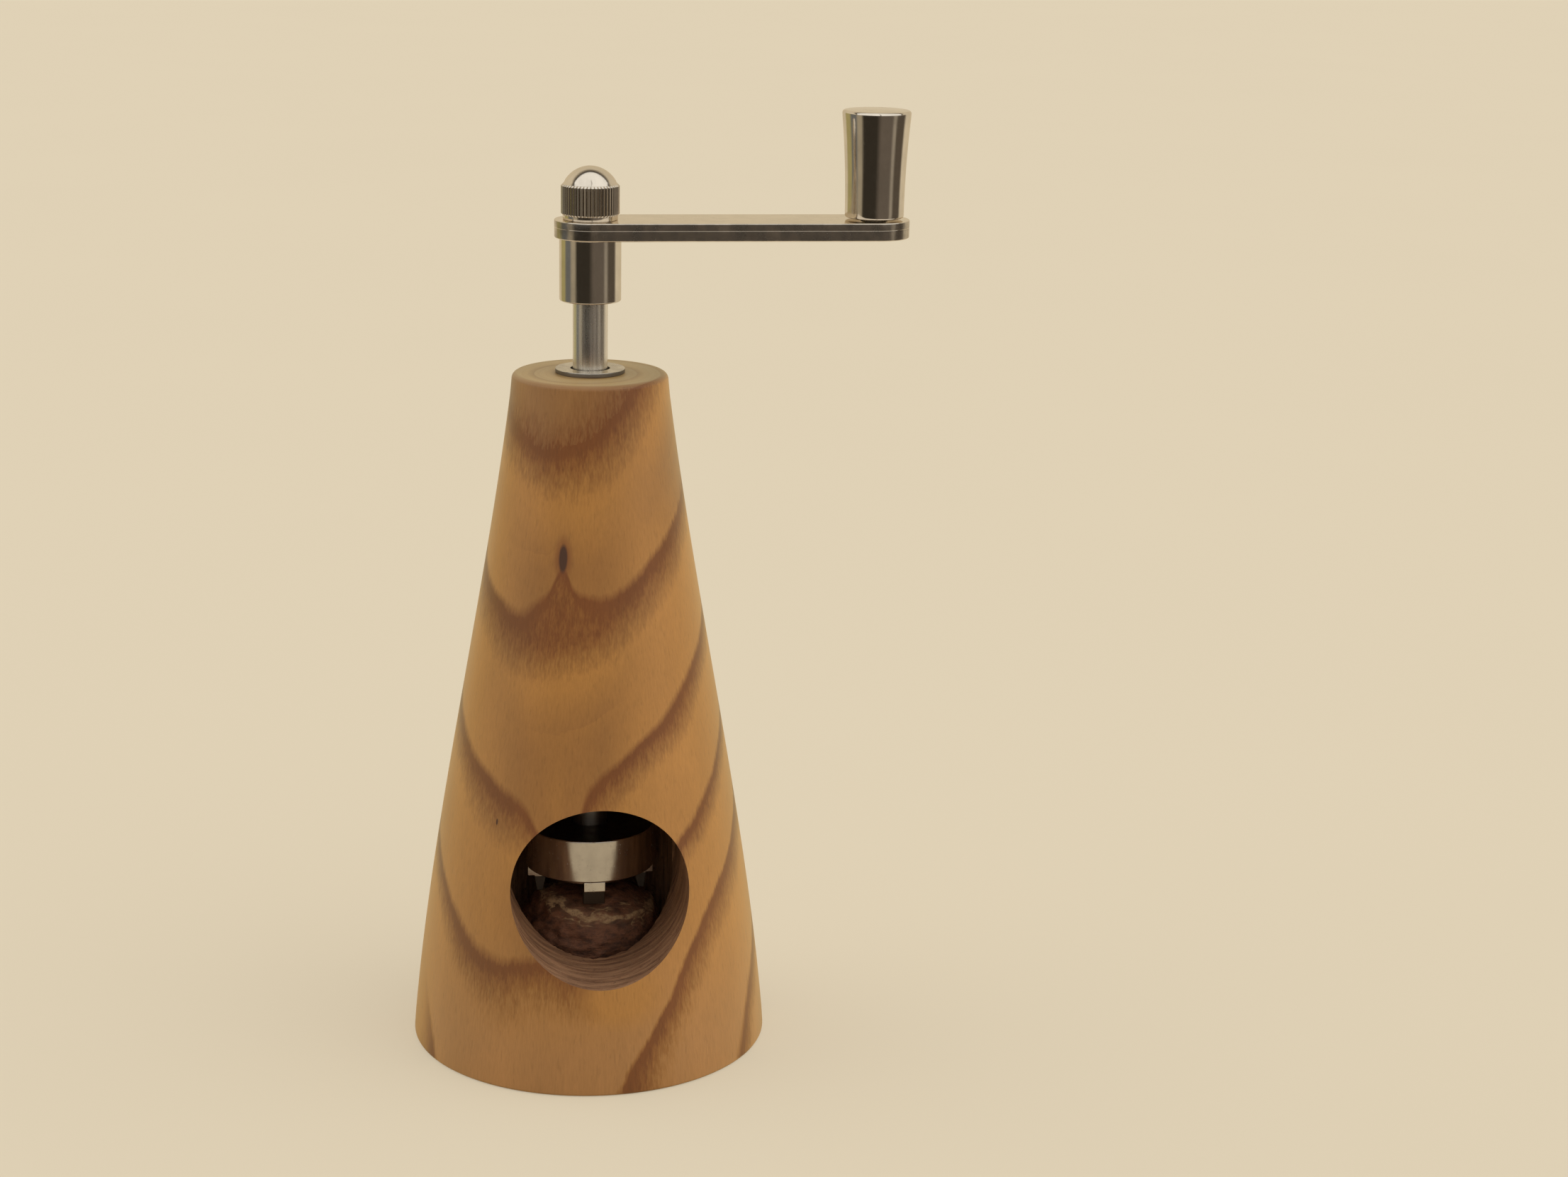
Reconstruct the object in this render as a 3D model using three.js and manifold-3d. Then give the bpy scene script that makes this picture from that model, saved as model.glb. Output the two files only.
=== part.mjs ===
// A hand cranked nutmeg grater: a turned wooden cone with a round loading window, a sprung spindle
// that holds a nutmeg against a grating plate in the base, and a crank arm with a turning knob.
// Millimetres, +Z up. The window faces -Y and the crank arm points along +X. The origin is on the
// surface that the grater stands on, under the middle of the whole outline.

import * as THREE from 'three';
import { mergeVertices } from 'three/addons/utils/BufferGeometryUtils.js';
import Module from 'manifold-3d';

// Clearances
const fitGap = 0.3; // between two pieces that sit in or round each other
const boreClearance = 0.4; // round the shaft in the wood and in the washers
const cutOverrun = 1; // how far a cutting tool runs past the face it starts from

// Wooden body
const bodyHeight = 121.2;
const baseRadius = 31.8;
const lowerSideRadius = 28.3; // pulls the side outwards, a third of the way up
const upperSideRadius = 18.3; // keeps the side straight, two thirds of the way up
const topRadius = 13.4;
const baseEdgeRound = 0.6;
const topEdgeRound = 0.9;
const windowRadius = 15.5;
const windowHeight = 34.4; // centre of the window above the base
const chamberRadius = 15;
const recessRadius = 21;
const recessDepth = 14;
const topWall = 9.2; // wood between the spring pocket and the top face

// Grating plate and its screws
const plateThickness = 1;
const toothHeight = 1;
const toothRings = 3;
const teethInFirstRing = 6;
const toothEdgeGap = 2.7; // from the outer ring of teeth to the chamber wall
const toothFootRadius = 1.4;
const toothRimRadius = 0.95;
const toothHoleRadius = 0.65;
const plateScrewCount = 3;
const plateScrewFirstAngle = Math.PI / 2; // keeps all screws clear of the window
const plateScrewRadius = 1.2;
const plateScrewHeadRadius = 2.3;
const plateScrewHeadHeight = 1.5;
const plateScrewLength = 8;
const plateScrewTip = 1.6;
const screwSlotWidth = 0.6;
const screwSlotDepth = 0.5;

// Nutmeg, half used, lying on its grated face
const nutmegWallGap = 1.6; // from the chamber wall to the long ends
const nutmegFlankGap = 2.2; // from the chamber wall to the flanks
const nutmegEquatorHeight = 3.7; // widest place above the grated face
const nutmegBiteHeight = 11.3; // surface under the claws, above the grated face

// Carrier with its claws
const carrierWallGap = 3.35;
const carrierHeight = 7.8;
const carrierEdge = 0.35;
const carrierWeb = 2; // metal under the shaft's socket
const clawCount = 4;
const clawWidth = 3.8;
const clawHubRadius = 7.6;
const clawPlateThickness = 1.9;
const clawRimStep = 0.05; // claw tops lie this far inside the carrier's rim
const clawTaper = 1.5; // slope of a claw's outer face over the plate's thickness
const tineLength = 2.8;
const tineRootDepth = 2.2; // radial depth where the tine leaves the plate
const tineTipDepth = 1.1;
const tineTipInset = 0.4; // tip inside the tine's outer face
const clawScrewRadius = 1.5;
const clawScrewHeadRadius = 2.7;
const clawScrewHeadHeight = 1.2;
const clawScrewGrip = 5.8; // thread in the shaft

// Shaft, spring and washers
const shaftRadius = 3;
const shaftEdge = 0.5;
const topWasherRadius = 6;
const topWasherThickness = 0.8;
const wearTravel = 11.7; // boss above the top washer: how far the spindle can still come down
const liftTravel = 18; // how far the spindle lifts to load a nutmeg
const liftClearance = 1.6; // carrier under the chamber's ceiling when fully lifted
const clipThickness = 0.8;
const clipGrooveDepth = 0.5;
const clipMouth = 4.4;
const clipRimStep = 0.7; // clip inside the washer's rim
const clipPocketMargin = 0.8; // keeps the clip in the pocket when the nutmeg is used up
const seatWasherThickness = 1;
const springWireRadius = 0.5;
const springShaftGap = 1;
const springPocketGap = 1.5;
const springCoils = 10;
const springEndPitch = 1.5;

// Crank
const bossWall = 2.3;
const bossHeight = 10.8;
const bossEdge = 0.3;
const armLength = 49; // shaft centre to knob centre
const armEndRadius = 6.15;
const armThickness = 3.1;
const armEdge = 0.35;
const nutWall = 2;
const nutNeckHeight = 0.6;
const nutNeckStep = 0.3;
const knurlHeight = 5.3;
const knurlRidges = 48;
const knurlDepth = 0.25;
const nutShoulderHeight = 0.6;
const nutShoulderStep = 0.9;
const nutDomeHeight = 2.8;
const nutThreadDepth = 4.9;

// Knob and the pin that it turns on
const knobHeight = 18.4;
const knobFootRadius = 5.1;
const knobHeadRadius = 5.95;
const knobEdge = 0.5;
const knobCrown = 0.3; // rise of the head's middle
const pinRadius = 2;
const pinHeadRadius = 2.9;
const pinHeadHeight = 1.2;
const pinTopWall = 3.5; // metal of the knob above the pin
const pinEdge = 0.4;
const ringThickness = 0.6;
const ringBelowPinTop = 3;
const pinGrooveDepth = 0.5;
const ringOuterStep = 0.9; // snap ring outside the pin's surface
const ringMouth = 1.6;

// Fineness of the round shapes
const bodySegments = 64;
const largeSegments = 40;
const smallSegments = 32;
const screwSegments = 16;
const toothSegments = 6;
const sideSteps = 8;
const knobSideSteps = 5;
const edgeSteps = 3;
const armEndSteps = 12;
const domeSteps = 5;
const springStepsPerCoil = 8;
const springSides = 5;
const nutmegSegments = 32;
const nutmegRings = 16;
const mergeDistance = 1e-4;

// Heights above the base, stacked from the plate upwards
const plateTopZ = recessDepth;
const plateBottomZ = plateTopZ - plateThickness;
const nutmegBottomZ = plateTopZ + toothHeight + fitGap;
const tineTipZ = nutmegBottomZ + nutmegBiteHeight + fitGap;
const clawPlateZ = tineTipZ + tineLength;
const carrierZ = clawPlateZ + clawPlateThickness;
const carrierTopZ = carrierZ + carrierHeight;
const chamberTopZ = carrierTopZ + liftTravel + liftClearance;
const pocketTopZ = bodyHeight - topWall;
const clipZ = chamberTopZ + wearTravel + clipPocketMargin;
const thrustWasherZ = clipZ + clipThickness;
const springBottomZ = thrustWasherZ + seatWasherThickness + fitGap;
const upperWasherZ = pocketTopZ - seatWasherThickness;
const springTopZ = upperWasherZ - fitGap;
const bossZ = bodyHeight + topWasherThickness + wearTravel;
const armZ = bossZ + bossHeight;
const armTopZ = armZ + armThickness;
const shaftZ = carrierZ + carrierWeb;
const shaftTopZ = armTopZ + nutThreadDepth;
const knobZ = armTopZ + fitGap;

// Radii that follow from the sizes above
const shaftBoreRadius = shaftRadius + boreClearance;
const sleeveRadius = shaftRadius + fitGap;
const springRadius = shaftRadius + springShaftGap + springWireRadius;
const pocketRadius = springRadius + springWireRadius + springPocketGap;
const screwCircleRadius = (chamberRadius + recessRadius) / 2;
const plateHoleRadius = plateScrewRadius + fitGap;
const carrierRadius = chamberRadius - carrierWallGap;
const clawHoleRadius = clawScrewRadius + fitGap;
const tineOuterRadius = carrierRadius - clawRimStep - clawTaper;
const tineTipInnerRadius = tineOuterRadius - tineTipInset - tineTipDepth;
const nutRadius = shaftRadius + nutWall;
const bodyOffset = (armLength + armEndRadius - baseRadius) / 2;

// Finishes
const wood = { color: 0xa9783f, roughness: 0.55, metalness: 0 };
const brushedSteel = { color: 0xb8b2a6, roughness: 0.35, metalness: 1 };
const polishedSteel = { color: 0xc9c3b5, roughness: 0.15, metalness: 1 };
const springSteel = { color: 0x8e8b85, roughness: 0.4, metalness: 1 };
const nutmegSkin = { color: 0x6b4a33, roughness: 0.85, metalness: 0 };

const wasm = await Module();
wasm.setup();

// Turns an outline of [radius, height] pairs about the Z axis.
function turned(outline, segments) {
  const points = outline.map(([radius, height]) => new THREE.Vector2(radius, height));
  const geometry = new THREE.LatheGeometry(points, segments);
  geometry.rotateX(Math.PI / 2);
  return geometry;
}

// A turned piece with a hole through it, from its outline's outer side.
function turnedRing(innerRadius, outerSide, segments) {
  const [, bottom] = outerSide[0];
  const [, top] = outerSide[outerSide.length - 1];
  const outline = [[innerRadius, bottom], ...outerSide, [innerRadius, top], [innerRadius, bottom]];
  return turned(outline, segments);
}

// A round bar from one height to another.
function bar(radius, bottom, top, segments) {
  return turned([[0, bottom], [radius, bottom], [radius, top], [0, top]], segments);
}

// The outer side of a short cylinder whose two rims are cut at 45 degrees.
function chamferedSide(radius, height, edge) {
  return [[radius - edge, 0], [radius, edge], [radius, height - edge], [radius - edge, height]];
}

// Quarter round in an outline, as [radius, height] pairs.
function quarterRound(centreRadius, centreHeight, size, fromAngle) {
  const arc = new THREE.EllipseCurve(
    centreRadius, centreHeight, size, size, fromAngle, fromAngle + Math.PI / 2,
  );
  return arc.getPoints(edgeSteps).map((point) => [point.x, point.y]);
}

// Copies a closed geometry into a solid that can be joined and cut.
function solidOf(geometry) {
  const bare = geometry.clone();
  bare.deleteAttribute('normal');
  bare.deleteAttribute('uv');
  const merged = mergeVertices(bare, mergeDistance);
  const corners = merged.index.array;
  const kept = [];
  for (let i = 0; i < corners.length; i += 3) {
    const [a, b, c] = corners.slice(i, i + 3);
    if (a !== b && b !== c && c !== a) {
      kept.push(a, b, c);
    }
  }
  return new wasm.Manifold(new wasm.Mesh({
    numProp: 3,
    vertProperties: merged.attributes.position.array,
    triVerts: new Uint32Array(kept),
  }));
}

// Copies a solid back into a geometry.
function geometryOf(solid) {
  const mesh = solid.getMesh();
  const geometry = new THREE.BufferGeometry();
  geometry.setAttribute('position', new THREE.BufferAttribute(mesh.vertProperties, mesh.numProp));
  geometry.setIndex(new THREE.BufferAttribute(mesh.triVerts, 1));
  geometry.computeVertexNormals();
  return geometry;
}

// Joins the first geometries and cuts the second ones out of them.
function carved(joined, cuts) {
  let solid = solidOf(joined[0]);
  for (const geometry of joined.slice(1)) {
    solid = solid.add(solidOf(geometry));
  }
  for (const geometry of cuts) {
    solid = solid.subtract(solidOf(geometry));
  }
  return geometryOf(solid);
}

// Calls a function for each of a ring's evenly spaced angles, with the angle and its number.
function aroundRing(count, firstAngle, make) {
  return Array.from({ length: count }, (_, i) => make(firstAngle + (i * 2 * Math.PI) / count, i));
}

function piece(name, geometry, finish, z) {
  const mesh = new THREE.Mesh(geometry, new THREE.MeshStandardMaterial(finish));
  mesh.name = name;
  mesh.position.z = z;
  return mesh;
}

function plateScrewAngles(make) {
  return aroundRing(plateScrewCount, plateScrewFirstAngle, make);
}

// A shallow screwdriver slot in a face that looks down, at the height z.
function screwSlot(headRadius, z) {
  const slot = new THREE.BoxGeometry(2 * headRadius + cutOverrun, screwSlotWidth, 2 * screwSlotDepth);
  return slot.translate(0, 0, z);
}

// The body is turned in one outline: outside, top face, shaft bore, spring pocket, chamber, recess.
function woodBody() {
  const side = new THREE.CubicBezierCurve(
    new THREE.Vector2(baseRadius, baseEdgeRound),
    new THREE.Vector2(lowerSideRadius, bodyHeight / 3),
    new THREE.Vector2(upperSideRadius, (bodyHeight * 2) / 3),
    new THREE.Vector2(topRadius, bodyHeight - topEdgeRound),
  );
  const outline = [
    ...quarterRound(baseRadius - baseEdgeRound, baseEdgeRound, baseEdgeRound, -Math.PI / 2),
    ...side.getPoints(sideSteps).slice(1, -1).map((point) => [point.x, point.y]),
    ...quarterRound(topRadius - topEdgeRound, bodyHeight - topEdgeRound, topEdgeRound, 0),
    [shaftBoreRadius, bodyHeight],
    [shaftBoreRadius, pocketTopZ],
    [pocketRadius, pocketTopZ],
    [pocketRadius, chamberTopZ],
    [chamberRadius, chamberTopZ],
    [chamberRadius, recessDepth],
    [recessRadius, recessDepth],
    [recessRadius, 0],
    [baseRadius - baseEdgeRound, 0],
  ];
  const windowDepth = baseRadius + cutOverrun;
  const window = new THREE.CylinderGeometry(windowRadius, windowRadius, windowDepth, bodySegments);
  window.translate(0, -windowDepth / 2, windowHeight);
  const holeTop = plateBottomZ + plateScrewLength + fitGap;
  const screwHoles = plateScrewAngles((angle) => bar(
    plateHoleRadius, recessDepth - cutOverrun, holeTop, screwSegments,
  ).translate(screwCircleRadius * Math.cos(angle), screwCircleRadius * Math.sin(angle), 0));
  return carved([turned(outline, bodySegments)], [window, ...screwHoles]);
}

function washer(innerRadius, outerRadius, thickness) {
  return turnedRing(innerRadius, [[outerRadius, 0], [outerRadius, thickness]], smallSegments);
}

// A flat open ring that snaps into a groove from the side.
function openRing(innerRadius, outerRadius, mouth, thickness) {
  const outerAngle = Math.asin(mouth / 2 / outerRadius);
  const innerAngle = Math.asin(mouth / 2 / innerRadius);
  const shape = new THREE.Shape();
  shape.absarc(0, 0, outerRadius, outerAngle, 2 * Math.PI - outerAngle, false);
  shape.absarc(0, 0, innerRadius, 2 * Math.PI - innerAngle, innerAngle, true);
  return new THREE.ExtrudeGeometry(shape, {
    depth: thickness, bevelEnabled: false, curveSegments: smallSegments / 2,
  });
}

// Places of the grating teeth: rings that grow by the first ring's count.
function toothPlaces() {
  const ringStep = (chamberRadius - toothEdgeGap) / toothRings;
  const places = [];
  for (let ring = 1; ring <= toothRings; ring += 1) {
    places.push(...aroundRing(ring * teethInFirstRing, 0, (angle) => (
      [ring * ringStep * Math.cos(angle), ring * ringStep * Math.sin(angle)]
    )));
  }
  return places;
}

// The plate has small raised rims round its holes, like punched grating teeth.
function graterPlate() {
  const plate = bar(recessRadius - fitGap, 0, plateThickness, largeSegments);
  const rimTop = plateThickness + toothHeight;
  const teeth = toothPlaces().map(([x, y]) => turned([
    [0, plateThickness / 2],
    [toothFootRadius, plateThickness / 2],
    [toothFootRadius, plateThickness],
    [toothRimRadius, rimTop],
    [0, rimTop],
  ], toothSegments).translate(x, y, 0));
  const holes = toothPlaces().map(([x, y]) => bar(
    toothHoleRadius, -cutOverrun, rimTop + cutOverrun, toothSegments,
  ).translate(x, y, 0));
  const screwHoles = plateScrewAngles((angle) => bar(
    plateHoleRadius, -cutOverrun, plateThickness + cutOverrun, screwSegments,
  ).translate(screwCircleRadius * Math.cos(angle), screwCircleRadius * Math.sin(angle), 0));
  return carved([plate, ...teeth], [...holes, ...screwHoles]);
}

// A round headed wood screw, driven from below, with the face under its head at zero height.
function plateScrew() {
  const screw = turned([
    [0, -plateScrewHeadHeight],
    ...quarterRound(
      plateScrewHeadRadius - plateScrewHeadHeight / 2, -plateScrewHeadHeight / 2,
      plateScrewHeadHeight / 2, -Math.PI / 2,
    ),
    [plateScrewHeadRadius, 0],
    [plateScrewRadius, 0],
    [plateScrewRadius, plateScrewLength - plateScrewTip],
    [0, plateScrewLength],
  ], screwSegments);
  return carved([screw], [screwSlot(plateScrewHeadRadius, -plateScrewHeadHeight)]);
}

// Half a nutmeg: a squat egg, cut flat where it has been grated. Its top just clears the claws.
function nutmegHalf() {
  const longRadius = chamberRadius - nutmegWallGap;
  const shortRadius = chamberRadius - nutmegFlankGap;
  const reach = tineTipInnerRadius / longRadius;
  const domeHeight = (nutmegBiteHeight - nutmegEquatorHeight) / Math.sqrt(1 - reach * reach);
  const egg = new THREE.SphereGeometry(1, nutmegSegments, nutmegRings);
  egg.rotateX(Math.PI / 2).scale(longRadius, shortRadius, domeHeight);
  egg.translate(0, 0, nutmegEquatorHeight);
  const grated = new THREE.BoxGeometry(2 * chamberRadius, 2 * chamberRadius, 2 * domeHeight);
  grated.translate(0, 0, -domeHeight);
  return carved([egg], [grated]);
}

// A steel disc with a socket for the shaft above and a screw hole below.
function carrier() {
  return turned([
    [clawHoleRadius, 0],
    ...chamferedSide(carrierRadius, carrierHeight, carrierEdge),
    [sleeveRadius, carrierHeight],
    [sleeveRadius, carrierWeb],
    [clawHoleRadius, carrierWeb],
    [clawHoleRadius, 0],
  ], largeSegments);
}

// One claw, seen from the side as [radius, height] pairs: a sloping arm that ends in a blunt tine.
function clawOutline() {
  const rim = carrierRadius - clawRimStep;
  const tipOuterRadius = tineOuterRadius - tineTipInset;
  return [
    [clawHubRadius / 2, clawPlateThickness],
    [clawHubRadius / 2, 0],
    [tineOuterRadius - tineRootDepth, 0],
    [tineTipInnerRadius, -tineLength],
    [tipOuterRadius, -tineLength],
    [tineOuterRadius, 0],
    [rim, clawPlateThickness],
  ];
}

// A hub with four arms, each bent down into a claw, and a countersunk hole for its screw.
function clawPlate() {
  const hub = bar(clawHubRadius, 0, clawPlateThickness, largeSegments);
  const shape = new THREE.Shape(clawOutline().map(([radius, z]) => new THREE.Vector2(radius, z)));
  const claws = aroundRing(clawCount, 0, (angle) => {
    const claw = new THREE.ExtrudeGeometry(shape, { depth: clawWidth, bevelEnabled: false });
    claw.translate(0, 0, -clawWidth / 2);
    return claw.rotateX(Math.PI / 2).rotateZ(angle);
  });
  const countersink = turned([
    [0, -cutOverrun],
    [clawScrewHeadRadius + fitGap, -cutOverrun],
    [clawScrewHeadRadius + fitGap, 0],
    [clawHoleRadius, clawScrewHeadHeight],
    [clawHoleRadius, clawPlateThickness + cutOverrun],
    [0, clawPlateThickness + cutOverrun],
  ], screwSegments);
  return carved([hub, ...claws], [countersink]);
}

// A flush screw that holds the claw plate and the carrier on the shaft's end.
function clawScrew() {
  const length = clawPlateThickness + carrierWeb + clawScrewGrip;
  const screw = turned([
    [0, 0],
    [clawScrewHeadRadius, 0],
    [clawScrewRadius, clawScrewHeadHeight],
    [clawScrewRadius, length],
    [0, length],
  ], screwSegments);
  return carved([screw], [screwSlot(clawScrewHeadRadius, 0)]);
}

// The shaft stands in the carrier's socket. A groove part way up holds the retaining clip.
function shaft() {
  const length = shaftTopZ - shaftZ;
  const grooveBottom = clipZ - fitGap - shaftZ;
  const grooveTop = clipZ + clipThickness + fitGap - shaftZ;
  const grooveRadius = shaftRadius - clipGrooveDepth;
  const threadTop = clawScrewGrip + fitGap;
  return turned([
    [0, threadTop],
    [clawHoleRadius, threadTop],
    [clawHoleRadius, 0],
    [shaftRadius, 0],
    [shaftRadius, grooveBottom],
    [grooveRadius, grooveBottom],
    [grooveRadius, grooveTop],
    [shaftRadius, grooveTop],
    [shaftRadius, length - shaftEdge],
    [shaftRadius - shaftEdge, length],
    [0, length],
  ], smallSegments);
}

// Height of the spring wire's centre after a number of turns, with close coils at both ends.
function springHeight(turns) {
  const rise = springTopZ - springBottomZ - 2 * springWireRadius;
  const openCoils = springCoils - 2;
  const openPitch = (rise - 2 * springEndPitch) / openCoils;
  const openTurns = Math.min(Math.max(turns - 1, 0), openCoils);
  return springWireRadius + (turns - openTurns) * springEndPitch + openTurns * openPitch;
}

function springPoint(turns) {
  const angle = 2 * Math.PI * turns;
  return new THREE.Vector3(
    springRadius * Math.cos(angle), springRadius * Math.sin(angle), springHeight(turns),
  );
}

// One unbroken wire: a ring of corners at each step, joined to the next, with a cap at each end.
function spring() {
  const steps = springCoils * springStepsPerCoil;
  const corners = [];
  for (let step = 0; step <= steps; step += 1) {
    const turns = step / springStepsPerCoil;
    const centre = springPoint(turns);
    const outwards = new THREE.Vector3(Math.cos(2 * Math.PI * turns), Math.sin(2 * Math.PI * turns), 0);
    for (let side = 0; side < springSides; side += 1) {
      const around = (2 * Math.PI * side) / springSides;
      const corner = centre.clone().addScaledVector(outwards, springWireRadius * Math.cos(around));
      corner.z += springWireRadius * Math.sin(around);
      corners.push(corner.x, corner.y, corner.z);
    }
  }
  const faces = [];
  const at = (step, side) => step * springSides + (side % springSides);
  for (let step = 0; step < steps; step += 1) {
    for (let side = 0; side < springSides; side += 1) {
      faces.push(at(step, side), at(step + 1, side), at(step, side + 1));
      faces.push(at(step, side + 1), at(step + 1, side), at(step + 1, side + 1));
    }
  }
  for (let side = 1; side < springSides - 1; side += 1) {
    faces.push(at(0, 0), at(0, side), at(0, side + 1));
    faces.push(at(steps, 0), at(steps, side + 1), at(steps, side));
  }
  const geometry = new THREE.BufferGeometry();
  geometry.setAttribute('position', new THREE.Float32BufferAttribute(corners, 3));
  geometry.setIndex(faces);
  geometry.computeVertexNormals();
  return geometry;
}

// Least free space between the wire and its neighbouring turns.
function springLeastGap() {
  const steps = springCoils * springStepsPerCoil;
  let least = Infinity;
  for (let i = 0; i <= steps; i += 1) {
    for (let j = i + springStepsPerCoil / 2; j <= steps; j += 1) {
      const from = springPoint(i / springStepsPerCoil);
      least = Math.min(least, from.distanceTo(springPoint(j / springStepsPerCoil)));
    }
  }
  return least - 2 * springWireRadius;
}

function crankBoss() {
  const side = chamferedSide(shaftRadius + bossWall, bossHeight, bossEdge);
  return turnedRing(sleeveRadius, side, smallSegments);
}

// A flat bar with full round ends, a shaft hole, and a countersunk pin hole in its underside.
function crankArm() {
  const outline = new THREE.Shape();
  outline.absarc(armLength, 0, armEndRadius, -Math.PI / 2, Math.PI / 2, false);
  outline.absarc(0, 0, armEndRadius, Math.PI / 2, (Math.PI * 3) / 2, false);
  const arm = new THREE.ExtrudeGeometry(outline, {
    depth: armThickness - 2 * armEdge,
    bevelThickness: armEdge,
    bevelSize: armEdge,
    bevelOffset: -armEdge,
    bevelSegments: 2,
    curveSegments: armEndSteps,
  });
  arm.translate(0, 0, armEdge);
  const shaftHole = bar(sleeveRadius, -cutOverrun, armThickness + cutOverrun, smallSegments);
  const pinHole = turned([
    [0, -cutOverrun],
    [pinHeadRadius + fitGap, -cutOverrun],
    [pinHeadRadius + fitGap, 0],
    [pinRadius + fitGap, pinHeadHeight],
    [pinRadius + fitGap, armThickness + cutOverrun],
    [0, armThickness + cutOverrun],
  ], smallSegments).translate(armLength, 0, 0);
  return carved([arm], [shaftHole, pinHole]);
}

// A domed nut with straight ridges round its grip and a blind thread.
function capNut() {
  const ridgeOutline = new THREE.Shape(aroundRing(2 * knurlRidges, 0, (angle) => {
    const valley = Math.round((angle * knurlRidges) / Math.PI) % 2;
    return new THREE.Vector2(Math.cos(angle), Math.sin(angle))
      .multiplyScalar(nutRadius - valley * knurlDepth);
  }));
  const grip = new THREE.ExtrudeGeometry(ridgeOutline, { depth: knurlHeight, bevelEnabled: false });
  grip.translate(0, 0, nutNeckHeight);
  const neckRadius = nutRadius - nutNeckStep;
  const coreRadius = nutRadius - knurlDepth;
  const domeRadius = nutRadius - nutShoulderStep;
  const gripTop = nutNeckHeight + knurlHeight;
  const domeBottom = gripTop + nutShoulderHeight;
  const dome = new THREE.EllipseCurve(0, domeBottom, domeRadius, nutDomeHeight, 0, Math.PI / 2);
  const core = turned([
    [0, 0],
    [neckRadius, 0],
    [neckRadius, nutNeckHeight + fitGap],
    [neckRadius, gripTop - fitGap],
    [coreRadius, gripTop],
    ...dome.getPoints(domeSteps).slice(0, -1).map((point) => [point.x, point.y]),
    [0, domeBottom + nutDomeHeight],
  ], smallSegments);
  const thread = bar(sleeveRadius, -cutOverrun, nutThreadDepth + fitGap, smallSegments);
  return carved([core, grip], [thread]);
}

// The pin ends just under the top of the knob's bore.
function knobPinLength() {
  const boreTop = armThickness + fitGap + knobHeight - pinTopWall;
  return boreTop - fitGap;
}

// Height of the snap ring above the arm's underside.
function ringHeight() {
  return knobPinLength() - ringBelowPinTop;
}

// A pin with a head riveted flush under the arm, and a groove for the snap ring.
function knobPin() {
  const top = knobPinLength();
  const grooveRadius = pinRadius - pinGrooveDepth;
  return turned([
    [0, 0],
    [pinHeadRadius, 0],
    [pinRadius, pinHeadHeight],
    [pinRadius, ringHeight() - fitGap],
    [grooveRadius, ringHeight() - fitGap],
    [grooveRadius, ringHeight() + ringThickness + fitGap],
    [pinRadius, ringHeight() + ringThickness + fitGap],
    [pinRadius, top - pinEdge],
    [pinRadius - pinEdge, top],
    [0, top],
  ], smallSegments);
}

function knobSnapRing() {
  const innerRadius = pinRadius - pinGrooveDepth + fitGap;
  return openRing(innerRadius, pinRadius + ringOuterStep, ringMouth, ringThickness);
}

// A knob that flares towards its head, with a blind bore and an inner groove for the snap ring.
function knob() {
  const boreRadius = pinRadius + fitGap;
  const grooveRadius = pinRadius + ringOuterStep + fitGap;
  const ringZ = ringHeight() - armThickness - fitGap;
  const flare = new THREE.QuadraticBezierCurve(
    new THREE.Vector2(knobFootRadius, knobEdge),
    new THREE.Vector2(knobFootRadius, knobHeight / 2),
    new THREE.Vector2(knobHeadRadius, knobHeight - knobCrown - knobEdge),
  );
  return turned([
    [0, knobHeight - pinTopWall],
    [boreRadius, knobHeight - pinTopWall],
    [boreRadius, ringZ + ringThickness + fitGap],
    [grooveRadius, ringZ + ringThickness + fitGap],
    [grooveRadius, ringZ - fitGap],
    [boreRadius, ringZ - fitGap],
    [boreRadius, 0],
    [knobFootRadius - knobEdge, 0],
    ...flare.getPoints(knobSideSteps).map((point) => [point.x, point.y]),
    [knobHeadRadius - knobEdge, knobHeight - knobCrown],
    [0, knobHeight],
  ], smallSegments);
}

const plateScrews = plateScrewAngles((angle, i) => {
  const screw = piece(`plate_screw_${i + 1}`, plateScrew(), brushedSteel, plateBottomZ);
  screw.position.x = screwCircleRadius * Math.cos(angle);
  screw.position.y = screwCircleRadius * Math.sin(angle);
  return screw;
});

const body = new THREE.Group();
body.add(
  piece('wood_body', woodBody(), wood, 0),
  piece('top_washer', washer(shaftBoreRadius, topWasherRadius, topWasherThickness), brushedSteel, bodyHeight),
  piece(
    'upper_spring_washer',
    washer(shaftBoreRadius, pocketRadius - fitGap, seatWasherThickness), brushedSteel, upperWasherZ,
  ),
  piece('coil_spring', spring(), springSteel, springBottomZ),
  piece('grater_plate', graterPlate(), brushedSteel, plateBottomZ),
  ...plateScrews,
);

const loadedNutmeg = piece('nutmeg', nutmegHalf(), nutmegSkin, nutmegBottomZ);

const thrustWasherRadius = pocketRadius - 2 * fitGap;
const clip = openRing(
  shaftRadius - clipGrooveDepth + fitGap, thrustWasherRadius - clipRimStep, clipMouth, clipThickness,
);
const thrustWasher = washer(sleeveRadius, thrustWasherRadius, seatWasherThickness);

const turningKnob = piece('knob', knob(), polishedSteel, knobZ);
turningKnob.position.x = armLength;
const pin = piece('knob_pin', knobPin(), brushedSteel, armZ);
pin.position.x = armLength;
const snapRing = piece('knob_snap_ring', knobSnapRing(), springSteel, armZ + ringHeight());
snapRing.position.x = armLength;

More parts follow.
